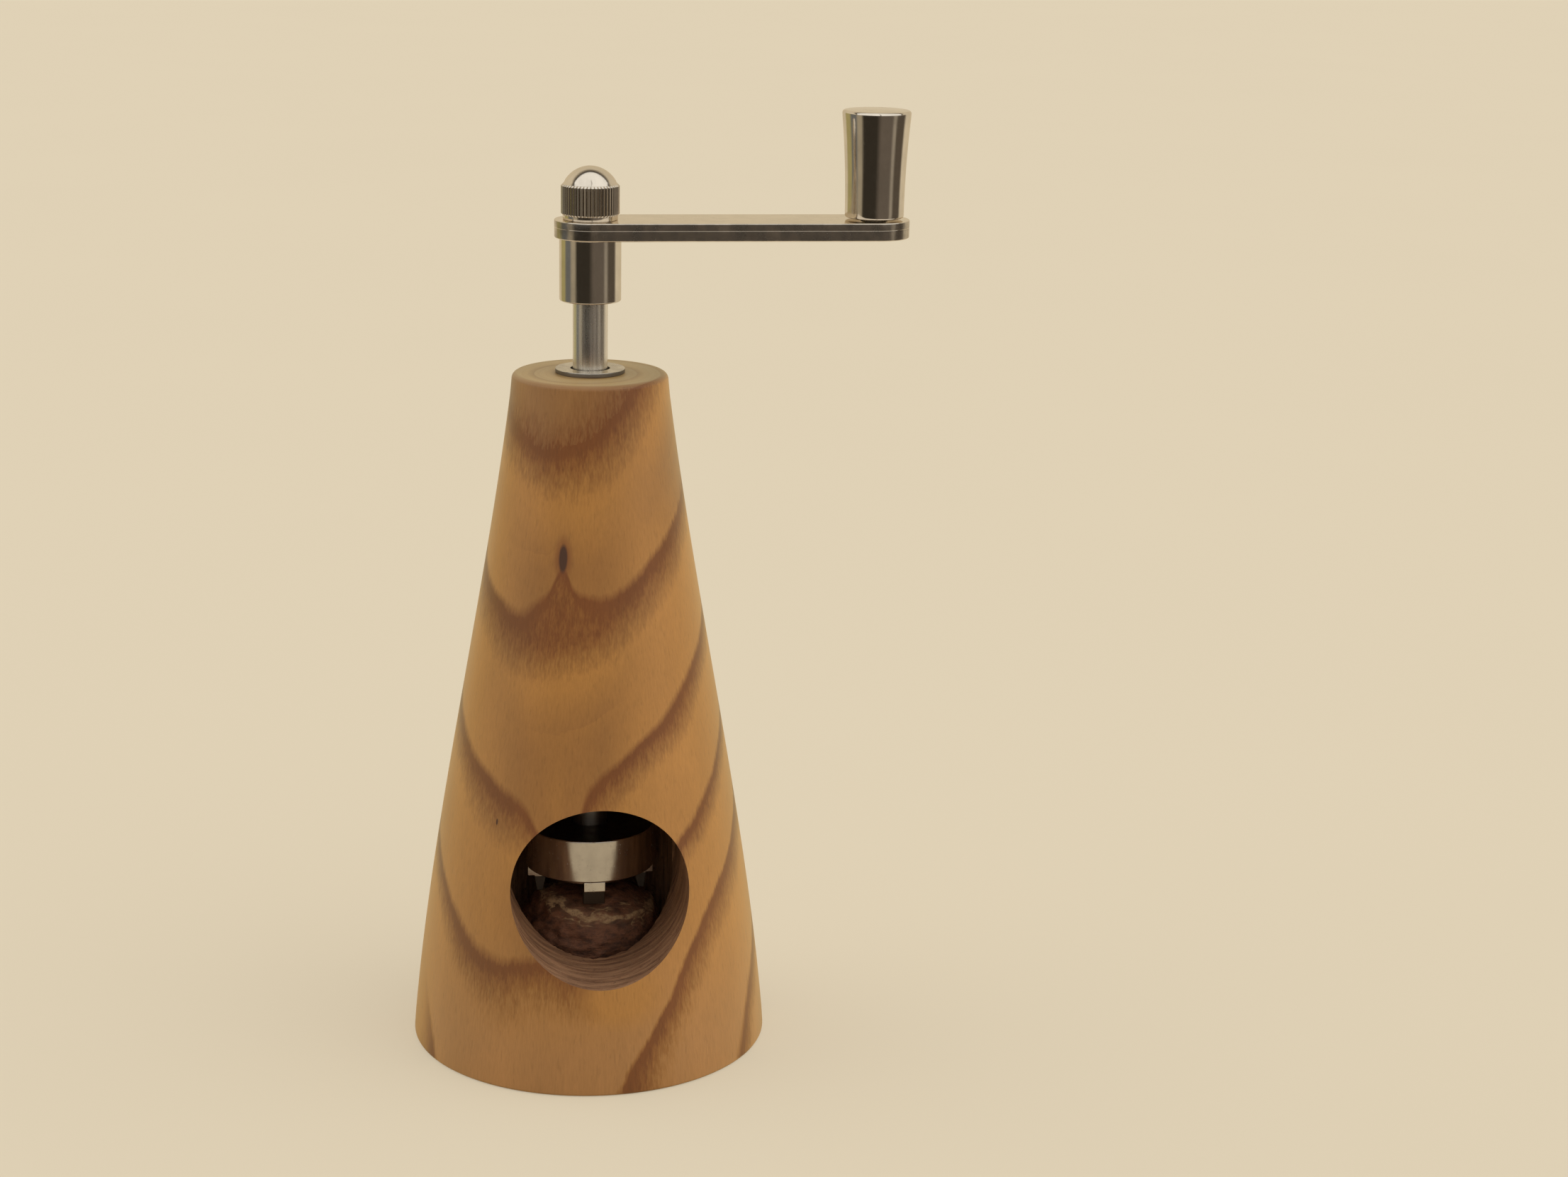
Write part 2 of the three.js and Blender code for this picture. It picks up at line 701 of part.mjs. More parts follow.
const spindle = new THREE.Group();
spindle.add(
  piece('thrust_washer', thrustWasher, brushedSteel, thrustWasherZ),
  piece('retaining_clip', clip, springSteel, clipZ),
  piece('shaft', shaft(), brushedSteel, shaftZ),
  piece('carrier', carrier(), polishedSteel, carrierZ),
  piece('claw_plate', clawPlate(), polishedSteel, clawPlateZ),
  piece('claw_screw', clawScrew(), brushedSteel, clawPlateZ),
  piece('crank_boss', crankBoss(), polishedSteel, bossZ),
  piece('crank_arm', crankArm(), polishedSteel, armZ),
  piece('cap_nut', capNut(), polishedSteel, armTopZ),
  pin,
  snapRing,
  turningKnob,
);

console.log(`least gap between the spring's turns: ${springLeastGap().toFixed(2)} mm`);

const grater = new THREE.Group();
grater.add(body, loadedNutmeg, spindle);
grater.position.x = -bodyOffset;

export default grater;
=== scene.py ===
"""A hand cranked nutmeg grater: a turned wooden cone, a sprung spindle with claws, and a crank.

Every sub-assembly is a class. Its fields hold the sizes and its methods make the pieces and give
them their finish. Pieces are shaped in millimetres, with the wooden body's axis at x = 0, and
moved into the frame in metres when they are finished. The window faces -Y and the crank arm
points along +X.
"""

import logging
import math
from collections.abc import Callable, Iterable, Sequence
from dataclasses import dataclass, field
from enum import Enum

import bmesh
import bpy
from mathutils import Matrix, Vector, noise
from mathutils.geometry import interpolate_bezier


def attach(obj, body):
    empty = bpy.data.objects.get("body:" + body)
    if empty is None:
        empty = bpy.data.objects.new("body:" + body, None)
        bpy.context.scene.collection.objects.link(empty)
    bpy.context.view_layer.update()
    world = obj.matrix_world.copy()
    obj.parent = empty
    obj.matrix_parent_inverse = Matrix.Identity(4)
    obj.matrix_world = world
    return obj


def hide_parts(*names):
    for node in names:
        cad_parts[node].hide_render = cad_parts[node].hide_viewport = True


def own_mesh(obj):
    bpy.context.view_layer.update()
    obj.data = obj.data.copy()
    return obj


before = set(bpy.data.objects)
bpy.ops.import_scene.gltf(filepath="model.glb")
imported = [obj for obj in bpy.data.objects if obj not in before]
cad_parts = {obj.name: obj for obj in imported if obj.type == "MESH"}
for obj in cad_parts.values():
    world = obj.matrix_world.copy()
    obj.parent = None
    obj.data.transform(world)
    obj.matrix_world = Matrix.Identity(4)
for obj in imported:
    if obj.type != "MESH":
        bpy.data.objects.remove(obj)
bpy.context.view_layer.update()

Colour = tuple[float, float, float]
Socket = bpy.types.NodeSocket
Value = Socket | float
Point = tuple[float, float, float]

# The pieces are shaped in mm. A cutting tool runs on past a face by OVERRUN.
MM = 0.001
BODY_AXIS_X = -11.675
BODY_HEIGHT = 121.2
ARM_LENGTH = 49.0
OVERRUN = 1.0
MERGE_DISTANCE = 1e-4
SHARP = math.radians(35.0)

log = logging.getLogger("nutmeg_grater")


class Rides(Enum):
    """The bodies of the frame that pieces ride on."""

    BODY = "root"
    SPINDLE = "spindle"
    KNOB = "knob"
    NUTMEG = "nutmeg"


class Slot(Enum):
    """The record's material slots."""

    WOOD = "wood"
    BRUSHED_STEEL = "brushed_steel"
    POLISHED_STEEL = "polished_steel"
    SPRING_STEEL = "spring_steel"
    NUTMEG_SKIN = "nutmeg_skin"


def seen(red: int, green: int, blue: int) -> Colour:
    """Turns a colour as a screen shows it into the linear colour that shaders take.

    Args:
        red: red, 0 to 255.
        green: green, 0 to 255.
        blue: blue, 0 to 255.

    Returns:
        The linear colour.
    """
    parts = (part / 255 for part in (red, green, blue))
    return tuple(p / 12.92 if p <= 0.04045 else ((p + 0.055) / 1.055) ** 2.4 for p in parts)


# Node trees


class Recipe:
    """A node tree with short calls for the nodes that this object's finishes and studio use."""

    def __init__(self, tree: bpy.types.NodeTree) -> None:
        """Empties a node tree and starts with the object's own coordinates.

        Args:
            tree: the node tree of a material or of the world.
        """
        self.tree = tree
        self.tree.nodes.clear()
        self.coordinates = self.tree.nodes.new("ShaderNodeTexCoord").outputs
        self.place = self.coordinates["Object"]

    def node(self, kind: str, inputs: dict[str | int, object], **settings: object) -> bpy.types.Node:
        """Adds a node, sets it up and feeds it.

        Args:
            kind: the node's type name without its "ShaderNode" start.
            inputs: a socket or a fixed value for each input, by name or number.
            settings: the node's own properties.

        Returns:
            The new node.
        """
        made = self.tree.nodes.new("ShaderNode" + kind)
        for name, value in settings.items():
            setattr(made, name, value)
        for name, value in inputs.items():
            if isinstance(value, bpy.types.NodeSocket):
                self.tree.links.new(value, made.inputs[name])
            elif isinstance(value, tuple) and len(value) == 3 and made.inputs[name].type == "RGBA":
                made.inputs[name].default_value = (*value, 1.0)
            else:
                made.inputs[name].default_value = value
        return made

    def math(self, operation: str, *values: Value, clamp: bool = False) -> Socket:
        """Adds a Math node.

        Args:
            operation: the Math node's operation.
            values: its inputs, in order.
            clamp: whether the result is kept between 0 and 1.

        Returns:
            The result.
        """
        return self.node("Math", dict(enumerate(values)), operation=operation, use_clamp=clamp).outputs[0]

    def length(self, vector: Socket) -> Socket:
        """Returns a vector's length."""
        return self.node("VectorMath", {0: vector}, operation="LENGTH").outputs["Value"]

    def scaled(self, vector: Socket, by: Point) -> Socket:
        """Returns a vector multiplied part by part."""
        return self.node("VectorMath", {0: vector, 1: by}, operation="MULTIPLY").outputs["Vector"]

    def centred(self, centre: Point, turn: Point = (0.0, 0.0, 0.0), size: Point = (1.0, 1.0, 1.0)) -> Socket:
        """Gives the place on the object measured from a centre, in turned axes.

        Args:
            centre: the new origin, in metres.
            turn: the turn of the new axes, in radians.
            size: the length of one unit along each new axis, in metres.

        Returns:
            The place in the new axes.
        """
        inputs = {"Vector": self.place, "Location": centre, "Rotation": turn, "Scale": size}
        return self.node("Mapping", inputs, vector_type="TEXTURE").outputs[0]

    def ramp(self, value: Socket, stops: Sequence[tuple[float, Colour | float]]) -> Socket:
        """Adds a colour ramp.

        Args:
            value: where on the ramp.
            stops: each stop's place with its colour, or with a grey from 0 to 1.

        Returns:
            The ramp's colour.
        """
        made = self.node("ValToRGB", {0: value})
        elements = made.color_ramp.elements
        while len(elements) < len(stops):
            elements.new(0.5)
        # The elements sort themselves by place, so every place is set before the first colour.
        for element, (place, _) in zip(elements, stops):
            element.position = place
        for element, (_, colour) in zip(elements, stops):
            element.color = (*colour, 1.0) if isinstance(colour, tuple) else (colour, colour, colour, 1.0)
        return made.outputs["Color"]

    def grain(self, stretch: Point, detail: float = 2.0, roughness: float = 0.5) -> Socket:
        """Adds a noise that is stretched along the axes.

        Args:
            stretch: how many waves it has in a metre along each axis.
            detail: how many finer layers it has.
            roughness: how strong the finer layers are.

        Returns:
            The noise, about 0.5 on average.
        """
        place = self.scaled(self.place, stretch)
        inputs = {"Vector": place, "Scale": 1.0, "Detail": detail, "Roughness": roughness}
        return self.node("TexNoise", inputs).outputs[0]

    def mix(self, share: Value, first: Value | Colour, second: Value | Colour, how: str = "MIX") -> Socket:
        """Mixes two colours.

        Args:
            share: the second colour's share.
            first: a colour.
            second: a colour.
            how: the blend mode.

        Returns:
            The mixed colour.
        """
        inputs = {0: share, 6: first, 7: second}
        for key in (6, 7):
            if isinstance(inputs[key], tuple):
                inputs[key] = (*inputs[key], 1.0)
        return self.node("Mix", inputs, data_type="RGBA", blend_type=how).outputs[2]

    def bump(self, height: Socket, depth: float, strength: float, onto: Socket | None = None) -> Socket:
        """Adds a bump.

        Args:
            height: the height, 0 to 1.
            depth: the height's size in metres.
            strength: how much of it shows.
            onto: a normal that is bumped already.

        Returns:
            The bumped normal.
        """
        inputs = {"Height": height, "Distance": depth, "Strength": strength}
        if onto is not None:
            inputs["Normal"] = onto
        return self.node("Bump", inputs).outputs[0]


class Finish:
    """A finish that makes its material once and hands out the same one after that."""

    made: dict[str, bpy.types.Material] = {}

    @property
    def title(self) -> str:
        """The material's name."""
        return type(self).__name__

    def material(self) -> bpy.types.Material:
        """Makes this finish's material at the first call.

        Returns:
            The material, the same one at every call.
        """
        if self.title not in Finish.made:
            material = bpy.data.materials.new(self.title)
            material.use_nodes = True
            recipe = Recipe(material.node_tree)
            surface = self.mixed(recipe)
            recipe.node("OutputMaterial", {"Surface": surface})
            Finish.made[self.title] = material
        return Finish.made[self.title]

    def mixed(self, recipe: Recipe) -> Socket:
        """Makes the finish's nodes in a recipe and returns its surface shader."""
        raise NotImplementedError


@dataclass(frozen=True)
class Bend:
    """A place on the side of the cone where the growth rings bend outwards or inwards."""

    middle: Point
    size: Point
    push: float


@dataclass(frozen=True)
class Mark:
    """A mark on the side of the cone: full out to its inner rim, and gone at its outer one."""

    middle: Point
    size: Point
    inner: float
    outer: float
    share: float
    colour: Colour


@dataclass(frozen=True)
class Wood(Finish):
    """Oiled hardwood: growth rings round a tilted pith, with dark late wood that fades outwards.

    Lengths are in mm, apart from the pith's place. The rings are given by their radii round the
    pith. A place on the side is given by its angle from the front in degrees, its height and its
    radius, and a size there by its half width, depth and half height.
    """

    pith: Point = ((BODY_AXIS_X - 2.783) * MM, -4.75 * MM, 0.0)
    lean: Point = (-0.029, 0.016, 0.0)
    rings: tuple[float, ...] = (4.9, 8.87, 12.87, 16.85, 21.0, 24.7, 27.4, 31.6, 35.2, 38.6)
    reach: float = 42.0
    fine_ring: float = 1.35
    spike_limit: float = 17.15
    late: Colour = seen(118, 68, 30)
    fading: Colour = seen(137, 88, 41)
    soft: Colour = seen(150, 102, 50)
    early: Colour = seen(173, 121, 60)
    # The dulled early wood: its own tone everywhere a little, laid on most in front as painted shade, and at
    # the top.
    dull_and_shade: Colour = seen(150, 103, 53)
    crown: Colour = seen(146, 104, 61)
    # Painted light: the paler early wood at the foot, standing in for the light that the floor throws back.
    foot: Colour = seen(165, 119, 73)
    end_grain: Colour = seen(158, 124, 88)
    # The end grain's painted shade towards the crank arm, and how fast it comes on.
    end_shade: Colour = seen(138, 108, 78)
    shade_slope: float = 37.0
    raw_dark: Colour = seen(96, 64, 46)
    raw_pale: Colour = seen(170, 127, 94)
    fuzz_pale: Colour = seen(160, 126, 94)
    fuzz_dark: Colour = seen(60, 36, 24)
    raw_share: float = 0.80
    # Painted shade: a broad strip in front where the early wood is dulled, standing in for the dimmer light
    # there.
    front_shade_middle: Point = (-17.0, 60.0, 21.0)
    front_shade_size: Point = (13.0, 30.0, 90.0)
    spikes: tuple[Bend, ...] = (
        Bend((-19.5, 88.0, 18.1), (1.3, 9.0, 6.0), 1.15), Bend((-19.5, 84.0, 18.9), (5.0, 9.0, 5.0), 0.95),
    )
    dips: tuple[Bend, ...] = (
        Bend((-17.5, 48.5, 25.2), (3.4, 9.0, 6.5), -1.8), Bend((2.0, 17.0, 30.0), (6.0, 9.0, 6.0), -0.7),
    )
    calms: tuple[Mark, ...] = (
        Mark((-88.0, 8.0, 31.2), (12.0, 12.0, 24.0), 0.5, 1.1, 0.9, early),
        Mark((6.0, 17.5, 30.0), (9.0, 9.0, 6.5), 0.5, 1.1, 0.95, early),
    )
    knot: tuple[Mark, ...] = (
        Mark((-19.5, 92.3, 17.6), (1.9, 4.0, 4.6), 0.4, 1.0, 0.75, seen(120, 68, 36)),
        Mark((-19.5, 92.3, 17.6), (0.85, 2.5, 2.75), 0.7, 1.05, 1.0, seen(74, 46, 34)),
    )
    pit: Mark = Mark((-43.0, 46.3, 25.6), (0.25, 1.0, 0.7), 0.6, 1.2, 1.0, seen(70, 36, 24))
    bored: bool = False

    @property
    def title(self) -> str:
        """The material's name."""
        return "bored_wood" if self.bored else "oiled_wood"

    def spot(self, recipe: Recipe, where: Point, size: Point) -> Socket:
        """Gives the distance from a spot on the side of the cone.

        Args:
            recipe: the node tree.
            where: the spot's place.
            size: the spot's half width, depth and half height in mm.

        Returns:
            The distance, 1 at the spot's rim.
        """
        angle = math.radians(where[0])
        centre = (
            (BODY_AXIS_X + where[2] * math.sin(angle)) * MM, -where[2] * math.cos(angle) * MM, where[1] * MM,
        )
        return recipe.length(recipe.centred(centre, (0.0, 0.0, angle), tuple(s * MM for s in size)))

    def distance(self, recipe: Recipe) -> Socket:
        """Measures how far each point is from the pith, wandering a little.

        Args:
            recipe: the node tree.

        Returns:
            The distance as a share of the reach.
        """
        flat = recipe.scaled(recipe.centred(self.pith, self.lean), (1.0, 1.0, 0.0))
        out = recipe.math("DIVIDE", recipe.length(flat), self.reach * MM)
        wander = recipe.math("SUBTRACT", recipe.grain((60.0, 60.0, 40.0), 2.0), 0.5)
        return recipe.math("MULTIPLY_ADD", wander, 0.020, out)

    def phase_at(self, recipe: Recipe, out: Socket) -> Socket:
        """Finds where a distance from the pith lies between two rings.

        Args:
            recipe: the node tree.
            out: the distance as a share of the reach.

        Returns:
            0 at the inner ring, growing to 1 just before the next.
        """
        count = len(self.rings) + 1
        stops = [(ring / self.reach, (i + 1) / count) for i, ring in enumerate(self.rings)]
        passed = recipe.math("MULTIPLY", recipe.ramp(out, [(0.0, 0.0), *stops]), float(count))
        return recipe.math("FRACT", passed)

    def growth(self, recipe: Recipe, out: Socket) -> Socket:
        """Roughens and bends the rings as the side of the cone shows them.

        Args:
            recipe: the node tree.
            out: the distance from the pith.

        Returns:
            Where each point lies between two rings.
        """
        jag = recipe.math("SUBTRACT", recipe.grain((1500.0, 1500.0, 260.0), 3.0, 0.7), 0.5)
        out = recipe.math("MULTIPLY_ADD", jag, 0.006, out)
        for dip in self.dips:
            out = recipe.math("MULTIPLY_ADD", self.near(recipe, dip), dip.push / self.reach, out)
        raised = out
        for spike in self.spikes:
            raised = recipe.math("MULTIPLY_ADD", self.near(recipe, spike), spike.push / self.reach, raised)
        limited = recipe.math("MINIMUM", raised, self.spike_limit / self.reach)
        return self.phase_at(recipe, recipe.math("MAXIMUM", out, limited))

    def near(self, recipe: Recipe, bend: Bend) -> Socket:
        """Returns how near each point is to a bend: 1 in its middle, a half at its rim."""
        distance = self.spot(recipe, bend.middle, bend.size)
        return recipe.math("POWER", 0.5, recipe.math("POWER", distance, 2.0))

    def feathered(self, recipe: Recipe, phase: Socket) -> Socket:
        """Frays the edges of the dark late wood into fine upright streaks.

        Args:
            recipe: the node tree.
            phase: where each point lies between two rings.

        Returns:
            The same, pulled up and down streak by streak.
        """
        fine = recipe.ramp(recipe.grain((2900.0, 2900.0, 480.0), 2.0, 0.6), [(0.36, 0.0), (0.64, 1.0)])
        tufts = recipe.ramp(recipe.grain((950.0, 950.0, 210.0), 2.0, 0.6), [(0.3, 0.0), (0.7, 1.0)])
        comb = recipe.math("MULTIPLY_ADD", fine, 0.10, recipe.math("MULTIPLY_ADD", tufts, 0.06, -0.08))
        below = recipe.ramp(phase, [(0.0, 0.1), (0.08, 0.6), (0.18, 1.0), (0.34, 0.6), (0.5, 0.0)])
        above = recipe.ramp(phase, [(0.78, 0.0), (0.92, 1.0), (1.0, 1.0)])
        above = recipe.math("MULTIPLY", above, self.high(recipe))
        frayed = recipe.math("MULTIPLY_ADD", comb, recipe.math("ADD", below, above), phase)
        uneven = recipe.math("MULTIPLY_ADD", recipe.grain((45.0, 45.0, 30.0), 1.0), 0.9, 0.6)
        early_side = recipe.math("LESS_THAN", phase, 0.6)
        return recipe.mix(early_side, frayed, recipe.math("MULTIPLY", frayed, uneven))

    def height(self, recipe: Recipe) -> Socket:
        """Returns the height on the cone, 0 at its foot and 1 at its top."""
        up = recipe.node("SeparateXYZ", {0: recipe.place}).outputs[2]
        return recipe.math("DIVIDE", up, BODY_HEIGHT * MM)

    def high(self, recipe: Recipe) -> Socket:
        """Returns 1 near the top of the cone, falling to 0 below it."""
        return recipe.ramp(self.height(recipe), [(0.78, 0.0), (0.88, 1.0)])

    def low(self, recipe: Recipe) -> Socket:
        """Returns how much painted light from the floor pales the early wood near the foot: most at the edge,
        0 above a quarter.
        """
        return recipe.ramp(self.height(recipe), [(0.06, 0.75), (0.24, 0.0)])

    def marked(self, recipe: Recipe, colour: Socket, marks: Sequence[Mark]) -> Socket:
        """Lays marks over a colour.

        Args:
            recipe: the node tree.
            colour: the colour so far.
            marks: the marks, the topmost last.

        Returns:
            The colour with its marks.
        """
        for mark in marks:
            distance = self.spot(recipe, mark.middle, mark.size)
            share = recipe.ramp(distance, [(mark.inner, mark.share), (mark.outer, 0.0)])
            colour = recipe.mix(share, colour, mark.colour)
        return colour

    def side_colour(self, recipe: Recipe, phase: Socket) -> Socket:
        """Colours the rings on the side: duller at the top, darker in front with painted shade, and paler at
        the foot with painted light from the floor.

        Args:
            recipe: the node tree.
            phase: where each point lies between two rings.

        Returns:
            The colour, before the fibres and pores.
        """
        high = self.high(recipe)
        colour = recipe.ramp(phase, [
            (0.0, self.late), (0.052, self.late), (0.125, self.fading), (0.21, self.soft), (0.34, self.early),
            (1.0, self.early),
        ])
        # Painted shade: the early wood is dulled most in a strip in front, and also at the top.
        front_shade_and_top = self.spot(recipe, self.front_shade_middle, self.front_shade_size)
        front_shade_and_top = recipe.math("MAXIMUM", recipe.ramp(front_shade_and_top, [(0.55, 1.0), (1.4, 0.15)]), high)
        dulled = recipe.math("MULTIPLY", recipe.ramp(phase, [(0.36, 0.0), (0.72, 1.0)]), front_shade_and_top)
        dull_and_shade = recipe.mix(recipe.math("MULTIPLY", high, 0.8), self.dull_and_shade, self.crown)
        colour = recipe.mix(dulled, colour, dull_and_shade)
        # Painted light from the floor: the early wood turns paler towards the foot.
        pale = recipe.ramp(phase, [(0.16, 0.0), (0.34, 1.0), (0.93, 1.0), (1.0, 0.0)])
        colour = recipe.mix(recipe.math("MULTIPLY", pale, self.low(recipe)), colour, self.foot)
        soft_edge = recipe.math("MULTIPLY", recipe.ramp(phase, [(0.80, 0.0), (1.0, 0.85)]), high)
        edge = recipe.math("MAXIMUM", recipe.ramp(phase, [(0.94, 0.0), (1.0, 1.0)]), soft_edge)
        return self.marked(recipe, recipe.mix(edge, colour, self.late), self.calms)

    def end_colour(self, recipe: Recipe, out: Socket) -> Socket:
        """Colours the end grain: broad rings with thin ones between, and painted shade towards the crank arm.

        Args:
            recipe: the node tree.
            out: the distance from the pith.

        Returns:
            The colour.
        """
        thin = recipe.math("FRACT", recipe.math("MULTIPLY", out, self.reach / self.fine_ring))
        thin = recipe.ramp(thin, [(0.0, 0.22), (0.3, 0.0), (0.8, 0.0), (1.0, 0.22)])
        broad = recipe.ramp(self.phase_at(recipe, out), [(0.0, 0.8), (0.06, 0.6), (0.3, 0.2), (0.6, 0.0)])
        # Painted shade: the end grain darkens towards the crank arm, which stands over this side of the top
        # face.
        east = recipe.node("SeparateXYZ", {0: recipe.centred((BODY_AXIS_X * MM, 0.0, 0.0))}).outputs[0]
        east = recipe.math("MULTIPLY_ADD", east, self.shade_slope, 0.5)
        ends = recipe.mix(recipe.ramp(east, [(0.45, 0.0), (0.85, 1.0)]), self.end_grain, self.end_shade)
        return recipe.mix(recipe.math("MAXIMUM", broad, thin), ends, self.late)

    def raw(self, recipe: Recipe, colour: Socket, depth: Socket) -> tuple[Socket, Socket]:
        """Turns oiled wood into bored wood that was left raw, with tool marks and fuzz.

        Args:
            recipe: the node tree.
            colour: the oiled wood's colour.
            depth: the oiled wood's bumped normal.

        Returns:
            The raw wood's colour and its bumped normal.
        """
        marks = recipe.grain((90.0, 1050.0, 110.0), 4.0, 0.65)
        fuzz = recipe.grain((900.0, 900.0, 900.0), 4.0, 0.75)
        bare = recipe.mix(recipe.ramp(marks, [(0.36, 0.0), (0.64, 1.0)]), self.raw_dark, self.raw_pale)
        colour = recipe.mix(self.raw_share, colour, bare)
        colour = recipe.mix(recipe.ramp(fuzz, [(0.56, 0.0), (0.72, 0.5)]), colour, self.fuzz_pale)
        colour = recipe.mix(recipe.ramp(fuzz, [(0.3, 0.6), (0.42, 0.0)]), colour, self.fuzz_dark)
        return colour, recipe.bump(fuzz, 0.25 * MM, 0.7, recipe.bump(marks, 0.3 * MM, 0.8, depth))

    def mixed(self, recipe: Recipe) -> Socket:
        """Makes the wood's nodes.

        Args:
            recipe: the node tree.

        Returns:
            The surface shader.
        """
        fibres = recipe.grain((3000.0, 3000.0, 260.0), 3.0, 0.7)
        pores = recipe.ramp(recipe.grain((2300.0, 2300.0, 330.0), 1.0), [(0.62, 0.0), (0.70, 1.0)])
        out = self.distance(recipe)
        phase = self.feathered(recipe, self.growth(recipe, out))
        tone = recipe.math("MULTIPLY_ADD", recipe.grain((90.0, 90.0, 26.0), 3.0), 0.36, 0.82)
        tone = recipe.math("MULTIPLY", tone, recipe.math("MULTIPLY_ADD", fibres, 0.40, 0.81))
        tone = recipe.math("MULTIPLY", tone, recipe.math("MULTIPLY_ADD", pores, -0.09, 1.0))
        colour = recipe.mix(1.0, self.side_colour(recipe, phase), tone, "MULTIPLY")
        normal = recipe.node("NewGeometry", {}).outputs["True Normal"]
        up = recipe.node("SeparateXYZ", {0: normal}).outputs[2]
        across = recipe.ramp(recipe.math("ABSOLUTE", up), [(0.35, 0.0), (0.95, 1.0)])
        colour = recipe.mix(recipe.math("MULTIPLY", across, 0.8), colour, self.end_colour(recipe, out))
        colour = self.marked(recipe, colour, (*self.knot, self.pit))
        depth = recipe.bump(fibres, 0.04 * MM, 0.3)
        depth = recipe.bump(recipe.math("SUBTRACT", 1.0, pores), 0.04 * MM, 0.15, depth)
        roughness = recipe.math("MULTIPLY_ADD", fibres, 0.16, 0.36)
        if self.bored:
            colour, depth = self.raw(recipe, colour, depth)
            roughness = recipe.math("ADD", roughness, 0.3)
        return recipe.node("BsdfPrincipled", {
            "Base Color": colour, "Roughness": roughness, "Normal": depth, "IOR": 1.5,
            "Specular IOR Level": 0.38, "Sheen Weight": 0.0 if self.bored else 0.22, "Sheen Roughness": 0.5,
            "Sheen Tint": (1.0, 0.93, 0.34, 1.0),
        }).outputs[0]


@dataclass(frozen=True)
class Metal(Finish):
    """A bare or plated metal with fine marks and dust that scatter a little light.

    The marks are stretched and counted in waves per metre. Specks and wear roughen it, mottle
    darkens its smears, and streaks darken its marks.
    """

    name: str
    tint: Colour
    gloss: float
    marking: float = 0.05
    stretch: Point = (900.0, 900.0, 900.0)
    specks: float = 0.10
    wear: float = 0.06
    mottle: float = 0.12
    streaks: float = 0.0

    @property
    def title(self) -> str:
        """The material's name."""
        return self.name

    def mixed(self, recipe: Recipe) -> Socket:
        """Makes the metal's nodes.

        Args:
            recipe: the node tree.

        Returns:
            The surface shader.
        """
        marks = recipe.grain(self.stretch, 3.0, 0.6)
        dust = recipe.grain((1900.0, 1900.0, 1900.0), 1.0, 0.5)
        smears = recipe.grain((300.0, 300.0, 220.0), 4.0, 0.65)
        dots = recipe.math("MULTIPLY", recipe.ramp(dust, [(0.62, 0.0), (0.82, 1.0)]), self.specks)
        hazy = recipe.math("MULTIPLY", recipe.ramp(smears, [(0.42, 0.0), (0.7, 1.0)]), self.wear)
        roughness = recipe.math("ADD", recipe.math("MULTIPLY_ADD", marks, 0.06, self.gloss - 0.03), dots)
        roughness = recipe.math("ADD", roughness, hazy, clamp=True)
        dulled = tuple((1 - self.mottle) * part for part in self.tint)
        colour = recipe.mix(recipe.ramp(smears, [(0.35, 0.0), (0.65, 1.0)]), self.tint, dulled)
        lined = recipe.math("MULTIPLY", recipe.ramp(marks, [(0.38, 1.0), (0.60, 0.0)]), self.streaks)
        colour = recipe.mix(lined, colour, tuple(0.4 * part for part in self.tint))
        return recipe.node("BsdfPrincipled", {
            "Base Color": colour, "Metallic": 1.0, "Roughness": roughness,
            "Normal": recipe.bump(marks, 0.01 * MM, self.marking),
            "Specular Tint": (0.88, 0.84, 0.77, 1.0),
        }).outputs[0]


POLISHED = Metal("polished_nickel", (0.74, 0.68, 0.60), 0.09)
SHEARED = Metal("sheared_nickel", (0.58, 0.53, 0.465), 0.17, 0.30, (1500.0, 1500.0, 1100.0), 0.06, 0.14, 0.55)
TURNED = Metal("turned_steel", (0.50, 0.455, 0.40), 0.15, 0.15, (500.0, 500.0, 2600.0), 0.15, 0.10)
# Painted shade: a dark steel for the shaft where it stands in the shade inside the body.
SHAFT_SHADE_STEEL = Metal("steel_with_painted_shade", (0.32, 0.295, 0.27), 0.38, 0.30, (900.0, 900.0, 60.0), 0.15, 0.20)
# Painted shade: a near black steel for the carrier's top and the claws' tines, which stand in the dark
# chamber.
CHAMBER_SHADE_STEEL = Metal("steel_with_painted_chamber_shade", (0.085, 0.072, 0.06), 0.36, 0.30, (700.0, 700.0, 700.0), 0.20, 0.20)
GROUND = Metal(
    "ground_steel", (0.90, 0.855, 0.785), 0.27, 0.50, (2200.0, 2200.0, 30.0), 0.0, 0.02, 0.04, 0.50,
)
BRUSHED = Metal(
    "brushed_steel", (0.62, 0.59, 0.54), 0.17, 0.25, (900.0, 240.0, 900.0), 0.10, 0.10, 0.25, 0.25,
)
CUT_EDGE = Metal("cut_steel_edge", (0.25, 0.23, 0.20), 0.45, 0.40, (700.0, 700.0, 2600.0), 0.10, 0.10)
PUNCHED = Metal("punched_steel", (0.60, 0.58, 0.55), 0.26, 0.30, (240.0, 1400.0, 900.0), 0.15, 0.15)
DRAWN_WIRE = Metal("drawn_wire", (0.30, 0.29, 0.28), 0.30, 0.30, (900.0, 900.0, 900.0), 0.15, 0.15)


